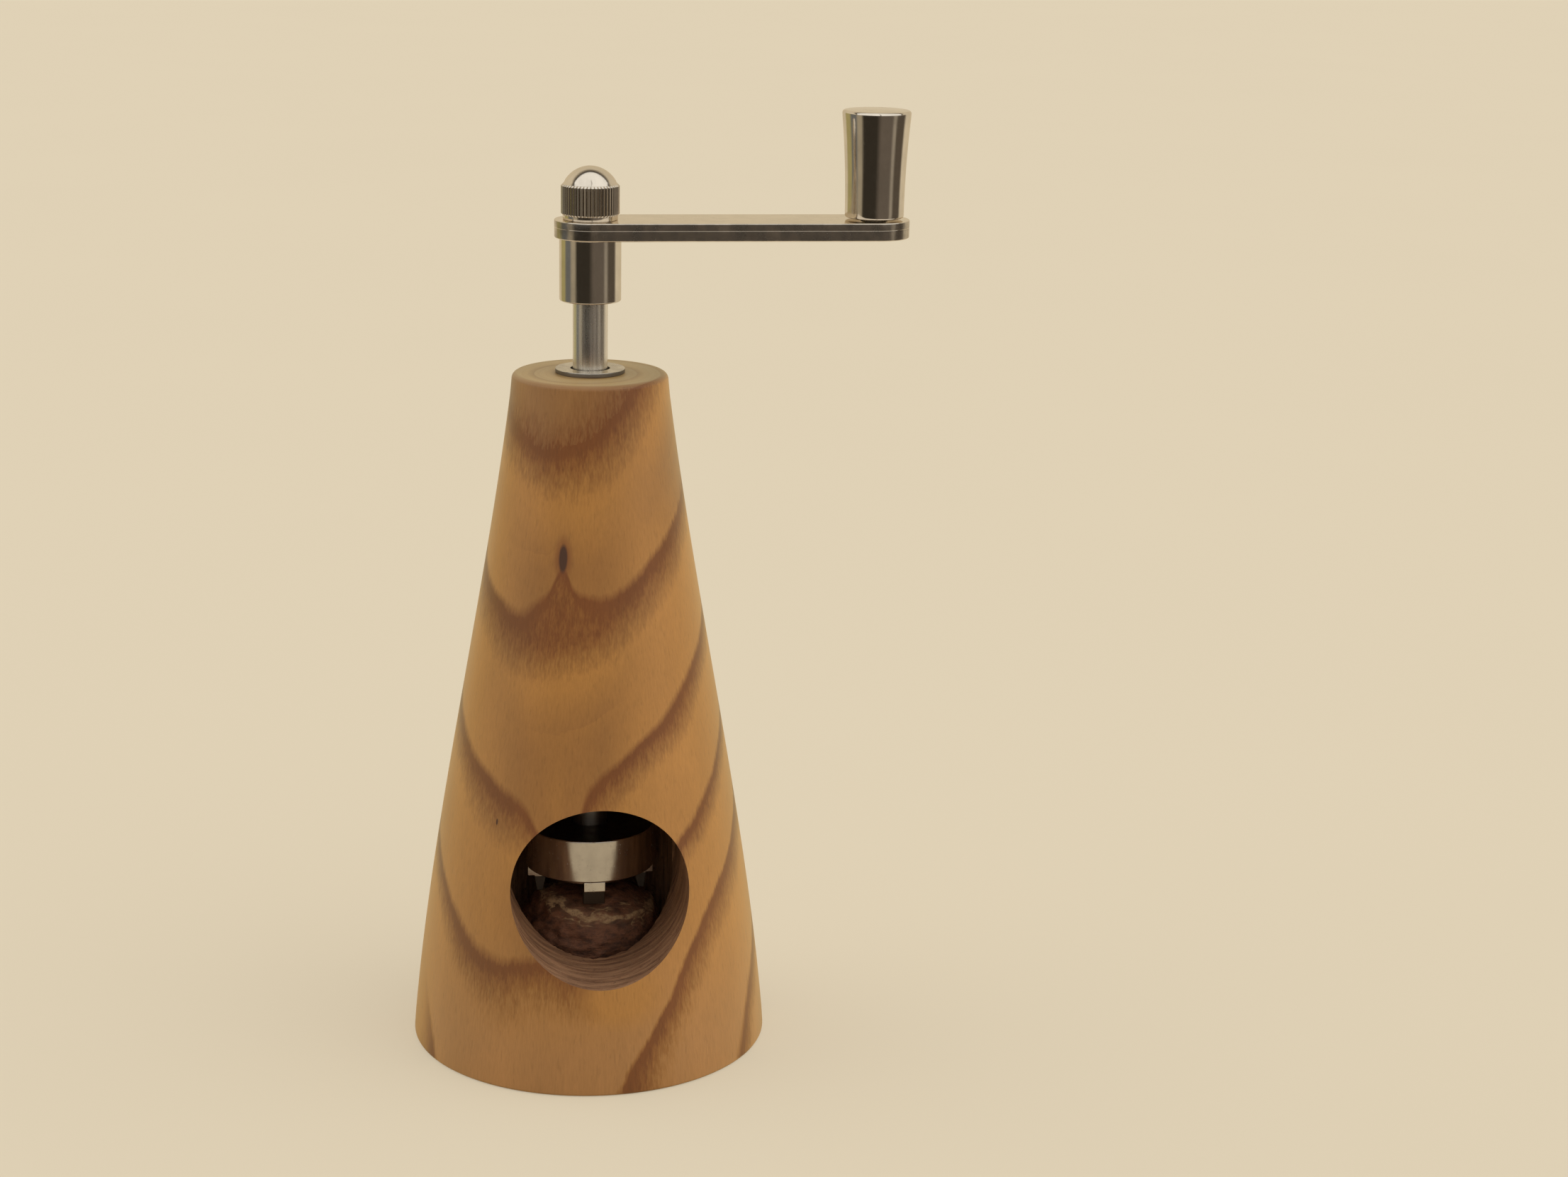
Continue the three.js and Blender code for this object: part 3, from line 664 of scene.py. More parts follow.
@dataclass(frozen=True)
class NutmegSkin(Finish):
    """A brown seed coat with paler flakes where it has split along its ridges."""

    dark: Colour = seen(60, 35, 23)
    warm: Colour = seen(122, 78, 52)
    bare: Colour = seen(128, 94, 64)
    flake: Colour = seen(176, 142, 102)

    def mixed(self, recipe: Recipe) -> Socket:
        """Makes the seed coat's nodes.

        Args:
            recipe: the node tree.

        Returns:
            The surface shader.
        """
        wrinkles = recipe.grain((150.0, 240.0, 420.0), 5.0, 0.65)
        pits = recipe.grain((700.0, 700.0, 900.0), 4.0, 0.7)
        colour = recipe.ramp(wrinkles, [(0.34, self.dark), (0.52, self.warm), (0.72, self.dark)])
        colour = recipe.mix(recipe.ramp(pits, [(0.48, 0.0), (0.64, 0.7)]), colour, self.dark)
        split = recipe.node("Attribute", {}, attribute_name="split").outputs["Fac"]
        veins = recipe.math("SUBTRACT", recipe.grain((110.0, 240.0, 330.0), 3.0, 0.6), 0.5)
        veins = recipe.ramp(recipe.math("ABSOLUTE", veins), [(0.006, 1.0), (0.030, 0.0)])
        rubbed = recipe.ramp(split, [(0.1, 0.0), (0.8, 0.6)])
        rubbed = recipe.math("MULTIPLY", rubbed, recipe.ramp(pits, [(0.4, 0.2), (0.6, 1.0)]))
        colour = recipe.mix(rubbed, colour, self.bare)
        broad = recipe.math("MULTIPLY", recipe.ramp(split, [(0.12, 0.0), (0.5, 1.0)]), veins)
        crest = recipe.ramp(split, [(0.80, 0.0), (0.92, 1.0)])
        flaky = recipe.math("MAXIMUM", broad, crest)
        flaky = recipe.math("MULTIPLY", flaky, recipe.ramp(pits, [(0.38, 0.1), (0.56, 1.0)]))
        colour = recipe.mix(flaky, colour, self.flake)
        depth = recipe.bump(pits, 0.3 * MM, 0.9, recipe.bump(wrinkles, 0.8 * MM, 1.0))
        inputs = {"Base Color": colour, "Roughness": 0.7, "Normal": depth}
        return recipe.node("BsdfPrincipled", inputs).outputs[0]


# Making pieces


@dataclass(frozen=True)
class Corner:
    """A corner of a turned outline, in millimetres: its radius, its height and its rounding."""

    radius: float
    height: float
    rounding: float = 0.0


def bent(start: Corner, first: Corner, second: Corner, end: Corner, steps: int) -> list[Corner]:
    """Bends an outline from one corner to another.

    Args:
        start: where the curve starts.
        first: the handle that it leaves towards.
        second: the handle that it arrives from.
        end: where it ends.
        steps: into how many straight pieces it is cut.

    Returns:
        The curve's corners, both ends among them.
    """
    knots = [Vector((corner.radius, corner.height)) for corner in (start, first, second, end)]
    return [Corner(point.x, point.y) for point in interpolate_bezier(*knots, steps + 1)]


class Workpiece:
    """A piece in the making: a bmesh in millimetres with the shaping steps of a workshop."""

    def __init__(self) -> None:
        """Starts with nothing."""
        self.mesh = bmesh.new()

    @classmethod
    def turned(cls, outline: Sequence[Corner], steps: int, ring: bool = False) -> "Workpiece":
        """Turns an outline about the Z axis, as on a lathe.

        Args:
            outline: the outline's corners, from axis to axis or round a closed section.
            steps: how many flats make the full turn.
            ring: whether the outline closes on itself.

        Returns:
            The turned piece.
        """
        piece = cls()
        mesh = piece.mesh
        verts = [mesh.verts.new((corner.radius, 0.0, corner.height)) for corner in outline]
        for pair in zip(verts, verts[1:] + verts[:1] if ring else verts[1:]):
            mesh.edges.new(pair)
        for vert, corner in zip(verts, outline):
            if corner.rounding:
                bmesh.ops.bevel(
                    mesh, geom=[vert], offset=corner.rounding, offset_type="OFFSET", segments=4,
                    profile=0.5, affect="VERTICES", material=-1,
                )
        bmesh.ops.spin(
            mesh, geom=mesh.verts[:] + mesh.edges[:], cent=(0, 0, 0), axis=(0, 0, 1),
            angle=math.tau, steps=steps, use_merge=True,
        )
        return piece.cleaned()

    @classmethod
    def round_bar(
        cls, radius: float, low: float, high: float, steps: int, rounding: float = 0.0,
    ) -> "Workpiece":
        """Turns a plain round bar or disc.

        Args:
            radius: its radius.
            low: the height of its lower face.
            high: the height of its upper face.
            steps: how many flats make the full turn.
            rounding: the rounding of both its edges.

        Returns:
            The bar.
        """
        return cls.turned([
            Corner(0, low), Corner(radius, low, rounding), Corner(radius, high, rounding), Corner(0, high),
        ], steps)

    @classmethod
    def slab(cls, outline: Sequence[Corner], length: float, steps: int = 96) -> "Workpiece":
        """Makes a flat bar with full round ends, along X from the origin.

        Args:
            outline: the outline of a round end, from axis to axis.
            length: from one end's centre to the other's.
            steps: how many flats a full circle has.

        Returns:
            The bar.
        """
        piece = cls.turned(outline, steps).moved(turn=math.pi / steps)
        far = [vert for vert in piece.mesh.verts if vert.co.x > 0.01]
        bmesh.ops.translate(piece.mesh, vec=(length, 0, 0), verts=far)
        return piece

    @classmethod
    def sawn(cls, outline: Sequence[tuple[float, float]], width: float) -> "Workpiece":
        """Saws an outline out of a plate that stands across Y.

        Args:
            outline: the outline's x and z.
            width: the plate's thickness along Y.

        Returns:
            The sawn piece.
        """
        piece = cls()
        piece.mesh.faces.new([piece.mesh.verts.new((x, -width / 2, z)) for x, z in outline])
        return piece.pulled((0, width, 0))

    def pulled(self, way: Point) -> "Workpiece":
        """Pulls all faces out into a solid.

        Args:
            way: how far.

        Returns:
            This piece.
        """
        drawn = bmesh.ops.extrude_face_region(self.mesh, geom=self.mesh.faces[:], use_keep_orig=True)
        moved = [part for part in drawn["geom"] if isinstance(part, bmesh.types.BMVert)]
        bmesh.ops.translate(self.mesh, vec=way, verts=moved)
        return self.cleaned()

    def cleaned(self) -> "Workpiece":
        """Merges doubles and turns all faces outwards.

        Returns:
            This piece.
        """
        bmesh.ops.remove_doubles(self.mesh, verts=self.mesh.verts, dist=MERGE_DISTANCE)
        bmesh.ops.recalc_face_normals(self.mesh, faces=self.mesh.faces)
        return self

    def softened(self, size: float) -> "Workpiece":
        """Rounds the edges that are sharp.

        Args:
            size: how far the rounding reaches.

        Returns:
            This piece.
        """
        edges = [
            edge for edge in self.mesh.edges
            if len(edge.link_faces) == 2 and edge.calc_face_angle(0.0) > SHARP
        ]
        bmesh.ops.bevel(
            self.mesh, geom=edges, offset=size, offset_type="OFFSET", segments=3,
            profile=0.5, affect="EDGES", material=-1, clamp_overlap=True,
        )
        return self

    def second_finish(self, where: Callable[[bmesh.types.BMFace], bool]) -> "Workpiece":
        """Gives some faces the piece's second finish, and all others its first.

        Args:
            where: tells whether a face gets the second finish.

        Returns:
            This piece.
        """
        for face in self.mesh.faces:
            face.material_index = int(where(face))
        return self

    def divided(self, height: float) -> "Workpiece":
        """Cuts all faces along a level, so that each side can have its own finish.

        Args:
            height: of the level.

        Returns:
            This piece.
        """
        everything = self.mesh.verts[:] + self.mesh.edges[:] + self.mesh.faces[:]
        bmesh.ops.bisect_plane(self.mesh, geom=everything, plane_co=(0, 0, height), plane_no=(0, 0, 1))
        return self

    def moved(self, x: float = 0.0, y: float = 0.0, z: float = 0.0, turn: float = 0.0) -> "Workpiece":
        """Turns the piece about the Z axis, then moves it.

        Args:
            x: along X.
            y: along Y.
            z: along Z.
            turn: in radians.

        Returns:
            This piece.
        """
        place = Matrix.Translation((x, y, z)) @ Matrix.Rotation(turn, 4, "Z")
        bmesh.ops.transform(self.mesh, matrix=place, verts=self.mesh.verts)
        return self

    def joined(self, others: Iterable["Workpiece"]) -> "Workpiece":
        """Adds other pieces to this one, as they are.

        Args:
            others: the pieces.

        Returns:
            This piece.
        """
        for other in others:
            loose = bpy.data.meshes.new("loose")
            other.mesh.to_mesh(loose)
            self.mesh.from_mesh(loose)
            bpy.data.meshes.remove(loose)
        return self

    def standing(self, name: str) -> bpy.types.Object:
        """Puts the piece into the scene as an object, with its place in its mesh.

        Args:
            name: the object's name.

        Returns:
            The object.
        """
        mesh = bpy.data.meshes.new(name)
        self.mesh.to_mesh(mesh)
        made = bpy.data.objects.new(name, mesh)
        bpy.context.scene.collection.objects.link(made)
        return made

    def cut(self, *tools: "Workpiece") -> "Workpiece":
        """Cuts other pieces out of this one.

        Args:
            tools: what is cut out.

        Returns:
            This piece.
        """
        blank = self.standing("blank")
        cutter = Workpiece().joined(tools).standing("cutter")
        boolean = blank.modifiers.new("cut", "BOOLEAN")
        boolean.object, boolean.operation, boolean.solver = cutter, "DIFFERENCE", "EXACT"
        graph = bpy.context.evaluated_depsgraph_get()
        result = bpy.data.meshes.new_from_object(blank.evaluated_get(graph))
        self.mesh.clear()
        self.mesh.from_mesh(result)
        for leftover in (blank, cutter):
            bpy.data.meshes.remove(leftover.data)
        bpy.data.meshes.remove(result)
        return self

    def finished(
        self, name: str, rides: Rides, slot: Slot, finishes: Sequence[Finish], nodes: Sequence[str],
        crease: float = 30.0,
    ) -> bpy.types.Object:
        """Moves the piece into the frame, in metres, and dresses it.

        Args:
            name: the piece's name.
            rides: the body that it moves with.
            slot: not used.
            finishes: its finishes, in the order of its faces' material numbers.
            nodes: the frame's nodes that it stands for.
            crease: edges sharper than this, in degrees, stay sharp in shading.

        Returns:
            The finished object.
        """
        for face in self.mesh.faces:
            face.smooth = True
        for edge in self.mesh.edges:
            edge.smooth = len(edge.link_faces) == 2 and edge.calc_face_angle(0.0) < math.radians(crease)
        into_frame = Matrix.Scale(MM, 4) @ Matrix.Translation((BODY_AXIS_X, 0, 0))
        bmesh.ops.transform(self.mesh, matrix=into_frame, verts=self.mesh.verts)
        made = self.standing(name)
        made.modifiers.new("even_shading", "WEIGHTED_NORMAL").keep_sharp = True
        for finish in finishes:
            made.data.materials.append(finish.material())
        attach(made, rides.value)
        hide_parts(*nodes)
        log.info("%s: %d faces, for %s", name, len(made.data.polygons), ", ".join(nodes))
        return made


def around(count: int, first: float = 0.0) -> list[float]:
    """Spaces angles evenly round a circle.

    Args:
        count: how many.
        first: the first one, in radians.

    Returns:
        The angles.
    """
    return [first + math.tau * i / count for i in range(count)]


# The wooden body and what is fixed in it


@dataclass
class WoodenBody:
    """The turned cone with its window, chamber, spring pocket and outlet recess."""

    height: float = BODY_HEIGHT
    base: float = 31.8
    base_rounding: float = 0.6
    top: float = 13.4
    top_rounding: float = 0.9
    low_handle: float = 28.3
    high_handle: float = 18.3
    side_steps: int = 40
    bore: float = 3.4
    pocket: float = 6.5
    pocket_top: float = 112.0
    chamber: float = 15.0
    chamber_top: float = 59.0
    recess: float = 21.0
    recess_depth: float = 14.0
    window: float = 15.5
    window_height: float = 34.4
    steps: int = 160
    skin: float = 0.35
    ledge: float = 0.3
    chip: float = 0.9

    def side(self) -> list[Corner]:
        """Draws the swelling outer side, from the base's rounding to the top's.

        Returns:
            Its corners.
        """
        return bent(
            Corner(self.base, self.base_rounding), Corner(self.low_handle, self.height / 3),
            Corner(self.high_handle, self.height * 2 / 3), Corner(self.top, self.height - self.top_rounding),
            self.side_steps,
        )

    def outline(self) -> list[Corner]:
        """Draws the whole section.

        Returns:
            Its corners, once round.
        """
        side = self.side()
        return [
            Corner(self.recess, 0.0, 0.25), Corner(self.base, 0.0, self.base_rounding), *side[1:-1],
            Corner(self.top, self.height, self.top_rounding), Corner(self.bore, self.height, 0.2),
            Corner(self.bore, self.pocket_top), Corner(self.pocket, self.pocket_top),
            Corner(self.pocket, self.chamber_top), Corner(self.chamber, self.chamber_top),
            Corner(self.chamber, self.recess_depth), Corner(self.recess, self.recess_depth),
        ]

    def is_bored(self, middle: Vector) -> bool:
        """Tells whether a face belongs to a bored surface inside the outer shape.

        Args:
            middle: the face's middle.

        Returns:
            True for the window's tunnel, the chamber, the pocket, the bore and the recess.
        """
        if middle.z > self.height - self.ledge or middle.z < self.ledge:
            return False
        side = self.side()
        low, high = next(
            (pair for pair in zip(side, side[1:]) if pair[1].height >= middle.z), (side[-2], side[-1]),
        )
        share = (middle.z - low.height) / (high.height - low.height)
        outer = low.radius + share * (high.radius - low.radius)
        return math.hypot(middle.x, middle.y) < outer - self.skin

    def fray(self, body: Workpiece) -> None:
        """Chips the edge where the window breaks into the chamber.

        Args:
            body: the cone with its window cut.
        """
        near = 0.05
        for vert in body.mesh.verts:
            x, y, z = vert.co
            on_chamber = abs(math.hypot(x, y) - self.chamber) < near
            on_window = abs(math.hypot(x, z - self.window_height) - self.window) < near
            if y < 0 and on_chamber and on_window:
                rough = abs(noise.noise(vert.co * 0.9)) + 0.6 * abs(noise.noise(vert.co * 2.7))
                vert.co.y -= self.chip * rough

    def make(self) -> bpy.types.Object:
        """Turns the cone and bores its window.

        Returns:
            The dressed body.
        """
        body = Workpiece.turned(self.outline(), self.steps, ring=True)
        drill = Workpiece.round_bar(self.window, 0, self.base + OVERRUN, 144)
        lay_down = Matrix.Translation((0, 0, self.window_height)) @ Matrix.Rotation(math.pi / 2, 4, "X")
        bmesh.ops.transform(drill.mesh, matrix=lay_down, verts=drill.mesh.verts)
        body.cut(drill)
        self.fray(body)
        body.second_finish(lambda face: self.is_bored(face.calc_center_median()))
        return body.finished("turned_body", Rides.BODY, Slot.WOOD, [Wood(), Wood(bored=True)], ["wood_body"])


@dataclass
class GratingPlate:
    """The punched plate that the nutmeg turns on, held by three round headed screws."""

    radius: float = 20.7
    low: float = 13.0
    high: float = 14.0
    hole: float = 0.66
    dent: float = 1.25
    dent_depth: float = 0.75
    tooth_foot: float = 1.4
    tooth_height: float = 1.0
    ring_step: float = 4.1
    screw_circle: float = 18.0
    screw_hole: float = 1.5
    screw_head: float = 2.3
    screw_head_height: float = 1.5
    screw_shank: float = 1.2
    screw_tip: float = 21.0
    screw_taper: float = 1.6
    slot: float = 0.6

    def tooth_places(self) -> list[tuple[float, float]]:
        """Places the teeth in three rings that grow by six.

        Returns:
            The x and y of each tooth.
        """
        return [
            (ring * self.ring_step * math.cos(angle), ring * self.ring_step * math.sin(angle))
            for ring in (1, 2, 3) for angle in around(6 * ring)
        ]

    def screw_places(self) -> list[tuple[float, float]]:
        """Places the screws.

        Returns:
            The x and y of each screw.
        """
        return [
            (self.screw_circle * math.cos(angle), self.screw_circle * math.sin(angle))
            for angle in around(3, math.pi / 2)
        ]

    def plate(self) -> bpy.types.Object:
        """Punches the teeth into the plate and drills its screw holes.

        Returns:
            The dressed plate.
        """
        below, above = self.low - OVERRUN, self.high + OVERRUN
        plate = Workpiece.round_bar(self.radius, self.low, self.high, 96, rounding=0.15)
        punches, teeth = [], []
        for x, y in self.tooth_places():
            punches.append(Workpiece.turned([
                Corner(0, below), Corner(self.dent, below), Corner(self.dent, self.low - 0.01),
                Corner(self.hole, self.low + self.dent_depth), Corner(self.hole, above), Corner(0, above),
            ], 14).moved(x, y))
            teeth.append(Workpiece.turned([
                Corner(self.hole, self.high - 0.3), Corner(self.tooth_foot, self.high - 0.3),
                Corner(self.tooth_foot - 0.05, self.high), Corner(1.0, self.high + 0.45),
                Corner(self.hole + 0.2, self.high + self.tooth_height),
                Corner(self.hole, self.high + self.tooth_height - 0.12),
            ], 14, ring=True).moved(x, y))
        holes = [
            Workpiece.round_bar(self.screw_hole, below, above, 24).moved(x, y)
            for x, y in self.screw_places()
        ]
        plate.cut(*punches, *holes).joined(teeth)
        return plate.finished("punched_plate", Rides.BODY, Slot.BRUSHED_STEEL, [PUNCHED], ["grater_plate"])

    def screw(self, number: int, x: float, y: float) -> bpy.types.Object:
        """Makes one slotted wood screw.

        Args:
            number: which screw.
            x: its place along X.
            y: its place along Y.

        Returns:
            The dressed screw.
        """
        head = self.low - self.screw_head_height
        screw = Workpiece.turned([
            Corner(0, head), Corner(self.screw_head, head, 0.7), Corner(self.screw_head, self.low, 0.1),
            Corner(self.screw_shank, self.low), Corner(self.screw_shank, self.screw_tip - self.screw_taper),
            Corner(0, self.screw_tip),
        ], 40)
        slot = Workpiece()
        across = Matrix.Diagonal((2 * self.screw_head + OVERRUN, self.slot, 1.0, 1.0))
        bmesh.ops.create_cube(slot.mesh, size=1.0, matrix=Matrix.Translation((0, 0, head)) @ across)
        screw.cut(slot.moved(turn=0.6 * number)).moved(x, y)
        node = f"plate_screw_{number}"
        return screw.finished(f"round_head_screw_{number}", Rides.BODY, Slot.BRUSHED_STEEL, [BRUSHED], [node])

    def make(self) -> list[bpy.types.Object]:
        """Returns the plate and its screws."""
        return [self.plate(), *(self.screw(i + 1, x, y) for i, (x, y) in enumerate(self.screw_places()))]


@dataclass
class Spring:
    """The spring that presses the spindle down, and the washer on the body's top face."""

    radius: float = 4.5
    wire: float = 0.5
    wire_sides: int = 14
    bottom: float = 73.62
    top: float = 110.68
    end_pitch: float = 1.5
    coils: int = 10
    steps: int = 28
    washer: float = 6.0
    washer_hole: float = 3.4
    washer_low: float = BODY_HEIGHT
    washer_high: float = 122.0
    lift: float = 18.0

    def coil(self) -> bpy.types.Object:
        """Winds the wire in one piece, with close coils at both ends.

        Returns:
            The dressed spring, with its own copy of its mesh.
        """
        piece = Workpiece()
        mesh = piece.mesh
        start = Matrix.Translation((self.radius, 0, self.bottom + self.wire))
        stand_up = start @ Matrix.Rotation(math.pi / 2, 4, "X")
        bmesh.ops.create_circle(
            mesh, cap_ends=True, segments=self.wire_sides, radius=self.wire, matrix=stand_up,
        )
        rise = self.top - self.bottom - 2 * self.wire
        open_coils = self.coils - 2
        open_pitch = (rise - 2 * self.end_pitch) / open_coils
        for turns, pitch in ((1, self.end_pitch), (open_coils, open_pitch), (1, self.end_pitch)):
            front = [face for face in mesh.faces if len(face.verts) == self.wire_sides][-1:]
            edges = list(front[0].edges)
            bmesh.ops.delete(mesh, geom=front, context="FACES_ONLY")
            wound = bmesh.ops.spin(
                mesh, geom=edges + list({vert for edge in edges for vert in edge.verts}), cent=(0, 0, 0),
                axis=(0, 0, 1), angle=math.tau * turns, steps=self.steps * turns,
                dvec=(0, 0, pitch / self.steps), use_merge=False,
            )
            last = [part for part in wound["geom_last"] if isinstance(part, bmesh.types.BMEdge)]
            bmesh.ops.contextual_create(mesh, geom=last)
        holes = [edge for edge in mesh.edges if edge.is_boundary]
        bmesh.ops.holes_fill(mesh, edges=holes, sides=0)
        piece.cleaned()
        made = piece.finished("spring_coil", Rides.BODY, Slot.SPRING_STEEL, [DRAWN_WIRE], ["coil_spring"])
        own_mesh(made)
        return made

    def top_washer(self) -> bpy.types.Object:
        """Turns the washer on the top face, with its edges left as they were cut.

        Returns:
            The dressed washer.
        """
        washer = Workpiece.turned([
            Corner(self.washer_hole, self.washer_low, 0.08), Corner(self.washer, self.washer_low, 0.12),
            Corner(self.washer, self.washer_high, 0.12), Corner(self.washer_hole, self.washer_high, 0.12),
        ], 96, ring=True)
        washer.second_finish(lambda face: abs(face.normal.z) < 0.3)
        return washer.finished(
            "face_washer", Rides.BODY, Slot.BRUSHED_STEEL, [BRUSHED, CUT_EDGE], ["top_washer"],
        )

    def make(self) -> list[bpy.types.Object]:
        """Returns the spring and the top washer."""
        return [self.coil(), self.top_washer()]


# The spindle and the crank


@dataclass
class Spindle:
    """The shaft with the carrier and its claws."""

    shaft: float = 3.0
    shaft_low: float = 33.6
    shaft_top: float = 152.5
    groove: float = 0.5
    groove_low: float = 71.2
    groove_high: float = 72.6
    carrier: float = 11.65
    carrier_low: float = 31.6
    carrier_top: float = 39.4
    socket: float = 3.3
    socket_low: float = 33.6
    screw_hole: float = 1.8
    screw_hole_top: float = 39.7
    screw_sink: float = 3.0
    screw_sink_depth: float = 1.2
    claw_low: float = 29.7
    claw_hub: float = 7.6
    claw_width: float = 3.8
    claw_root: float = 4.2
    claw_end: float = 11.3
    claw_chamfer: float = 0.15
    claw_rounding: float = 0.3
    tine_low: float = 26.9
    tine_inner: tuple[float, float] = (7.9, 8.6)
    tine_outer: tuple[float, float] = (10.1, 9.7)
    shade_below: float = 56.8

    def rod(self) -> bpy.types.Object:
        """Turns the shaft, with its groove and the claw screw's hole.

        Returns:
            The dressed shaft, darker inside the body with painted shade.
        """
        groove = self.shaft - self.groove
        rod = Workpiece.turned([
            Corner(0, self.screw_hole_top), Corner(self.screw_hole, self.screw_hole_top),
            Corner(self.screw_hole, self.shaft_low), Corner(self.shaft, self.shaft_low, 0.1),
            Corner(self.shaft, self.groove_low), Corner(groove, self.groove_low),
            Corner(groove, self.groove_high), Corner(self.shaft, self.groove_high),
            Corner(self.shaft, self.shaft_top, 0.5), Corner(0, self.shaft_top),
        ], 96)
        # Painted shade on the shaft below this level, inside the body.
        rod.divided(self.shade_below)
        rod.second_finish(lambda face: face.calc_center_median().z < self.shade_below)
        return rod.finished("spindle_rod", Rides.SPINDLE, Slot.BRUSHED_STEEL, [GROUND, SHAFT_SHADE_STEEL], ["shaft"])

    def disc(self) -> bpy.types.Object:
        """Turns the carrier, with the shaft's socket and the claw screw's hole.

        Returns:
            The dressed carrier, with painted shade on its top.
        """
        disc = Workpiece.turned([
            Corner(self.screw_hole, self.carrier_low), Corner(self.carrier, self.carrier_low, 0.3),
            Corner(self.carrier, self.carrier_top, 0.3), Corner(self.socket, self.carrier_top, 0.2),
            Corner(self.socket, self.socket_low), Corner(self.screw_hole, self.socket_low),
        ], 144, ring=True)
        # Painted shade on the carrier's top face.
        disc.second_finish(lambda face: face.normal.z > 0.9)
        return disc.finished(
            "claw_carrier", Rides.SPINDLE, Slot.POLISHED_STEEL, [TURNED, CHAMBER_SHADE_STEEL], ["carrier"],
        )

    def claws(self) -> bpy.types.Object:
        """Makes the hub with its four bent claws.

        Returns:
            The dressed hub, with painted shade on its tines.
        """
        hub = Workpiece.turned([
            Corner(self.screw_hole, self.claw_low + self.screw_sink_depth),
            Corner(self.screw_sink, self.claw_low), Corner(self.claw_hub, self.claw_low, 0.3),
            Corner(self.claw_hub, self.carrier_low), Corner(self.screw_hole, self.carrier_low),
        ], 96, ring=True)
        arm = [
            (self.claw_root, self.carrier_low), (self.claw_root, self.claw_low),
            (self.tine_inner[0], self.claw_low), (self.tine_inner[1], self.tine_low),
            (self.tine_outer[1], self.tine_low), (self.tine_outer[0], self.claw_low),
            (self.claw_end - self.claw_chamfer, self.claw_low),
            (self.claw_end, self.claw_low + self.claw_chamfer), (self.claw_end, self.carrier_low),
        ]
        hub.joined(
            Workpiece.sawn(arm, self.claw_width).softened(self.claw_rounding).moved(turn=angle)
            for angle in around(4)
        )
        tines = self.claw_low - 0.1
        # Painted shade on the tines below this level.
        hub.divided(tines).second_finish(lambda face: face.calc_center_median().z < tines)
        return hub.finished(
            "claw_spider", Rides.SPINDLE, Slot.POLISHED_STEEL, [TURNED, CHAMBER_SHADE_STEEL], ["claw_plate"],
        )

    def make(self) -> list[bpy.types.Object]:
        """Returns the rod, the carrier and the claws."""
        return [self.rod(), self.disc(), self.claws()]


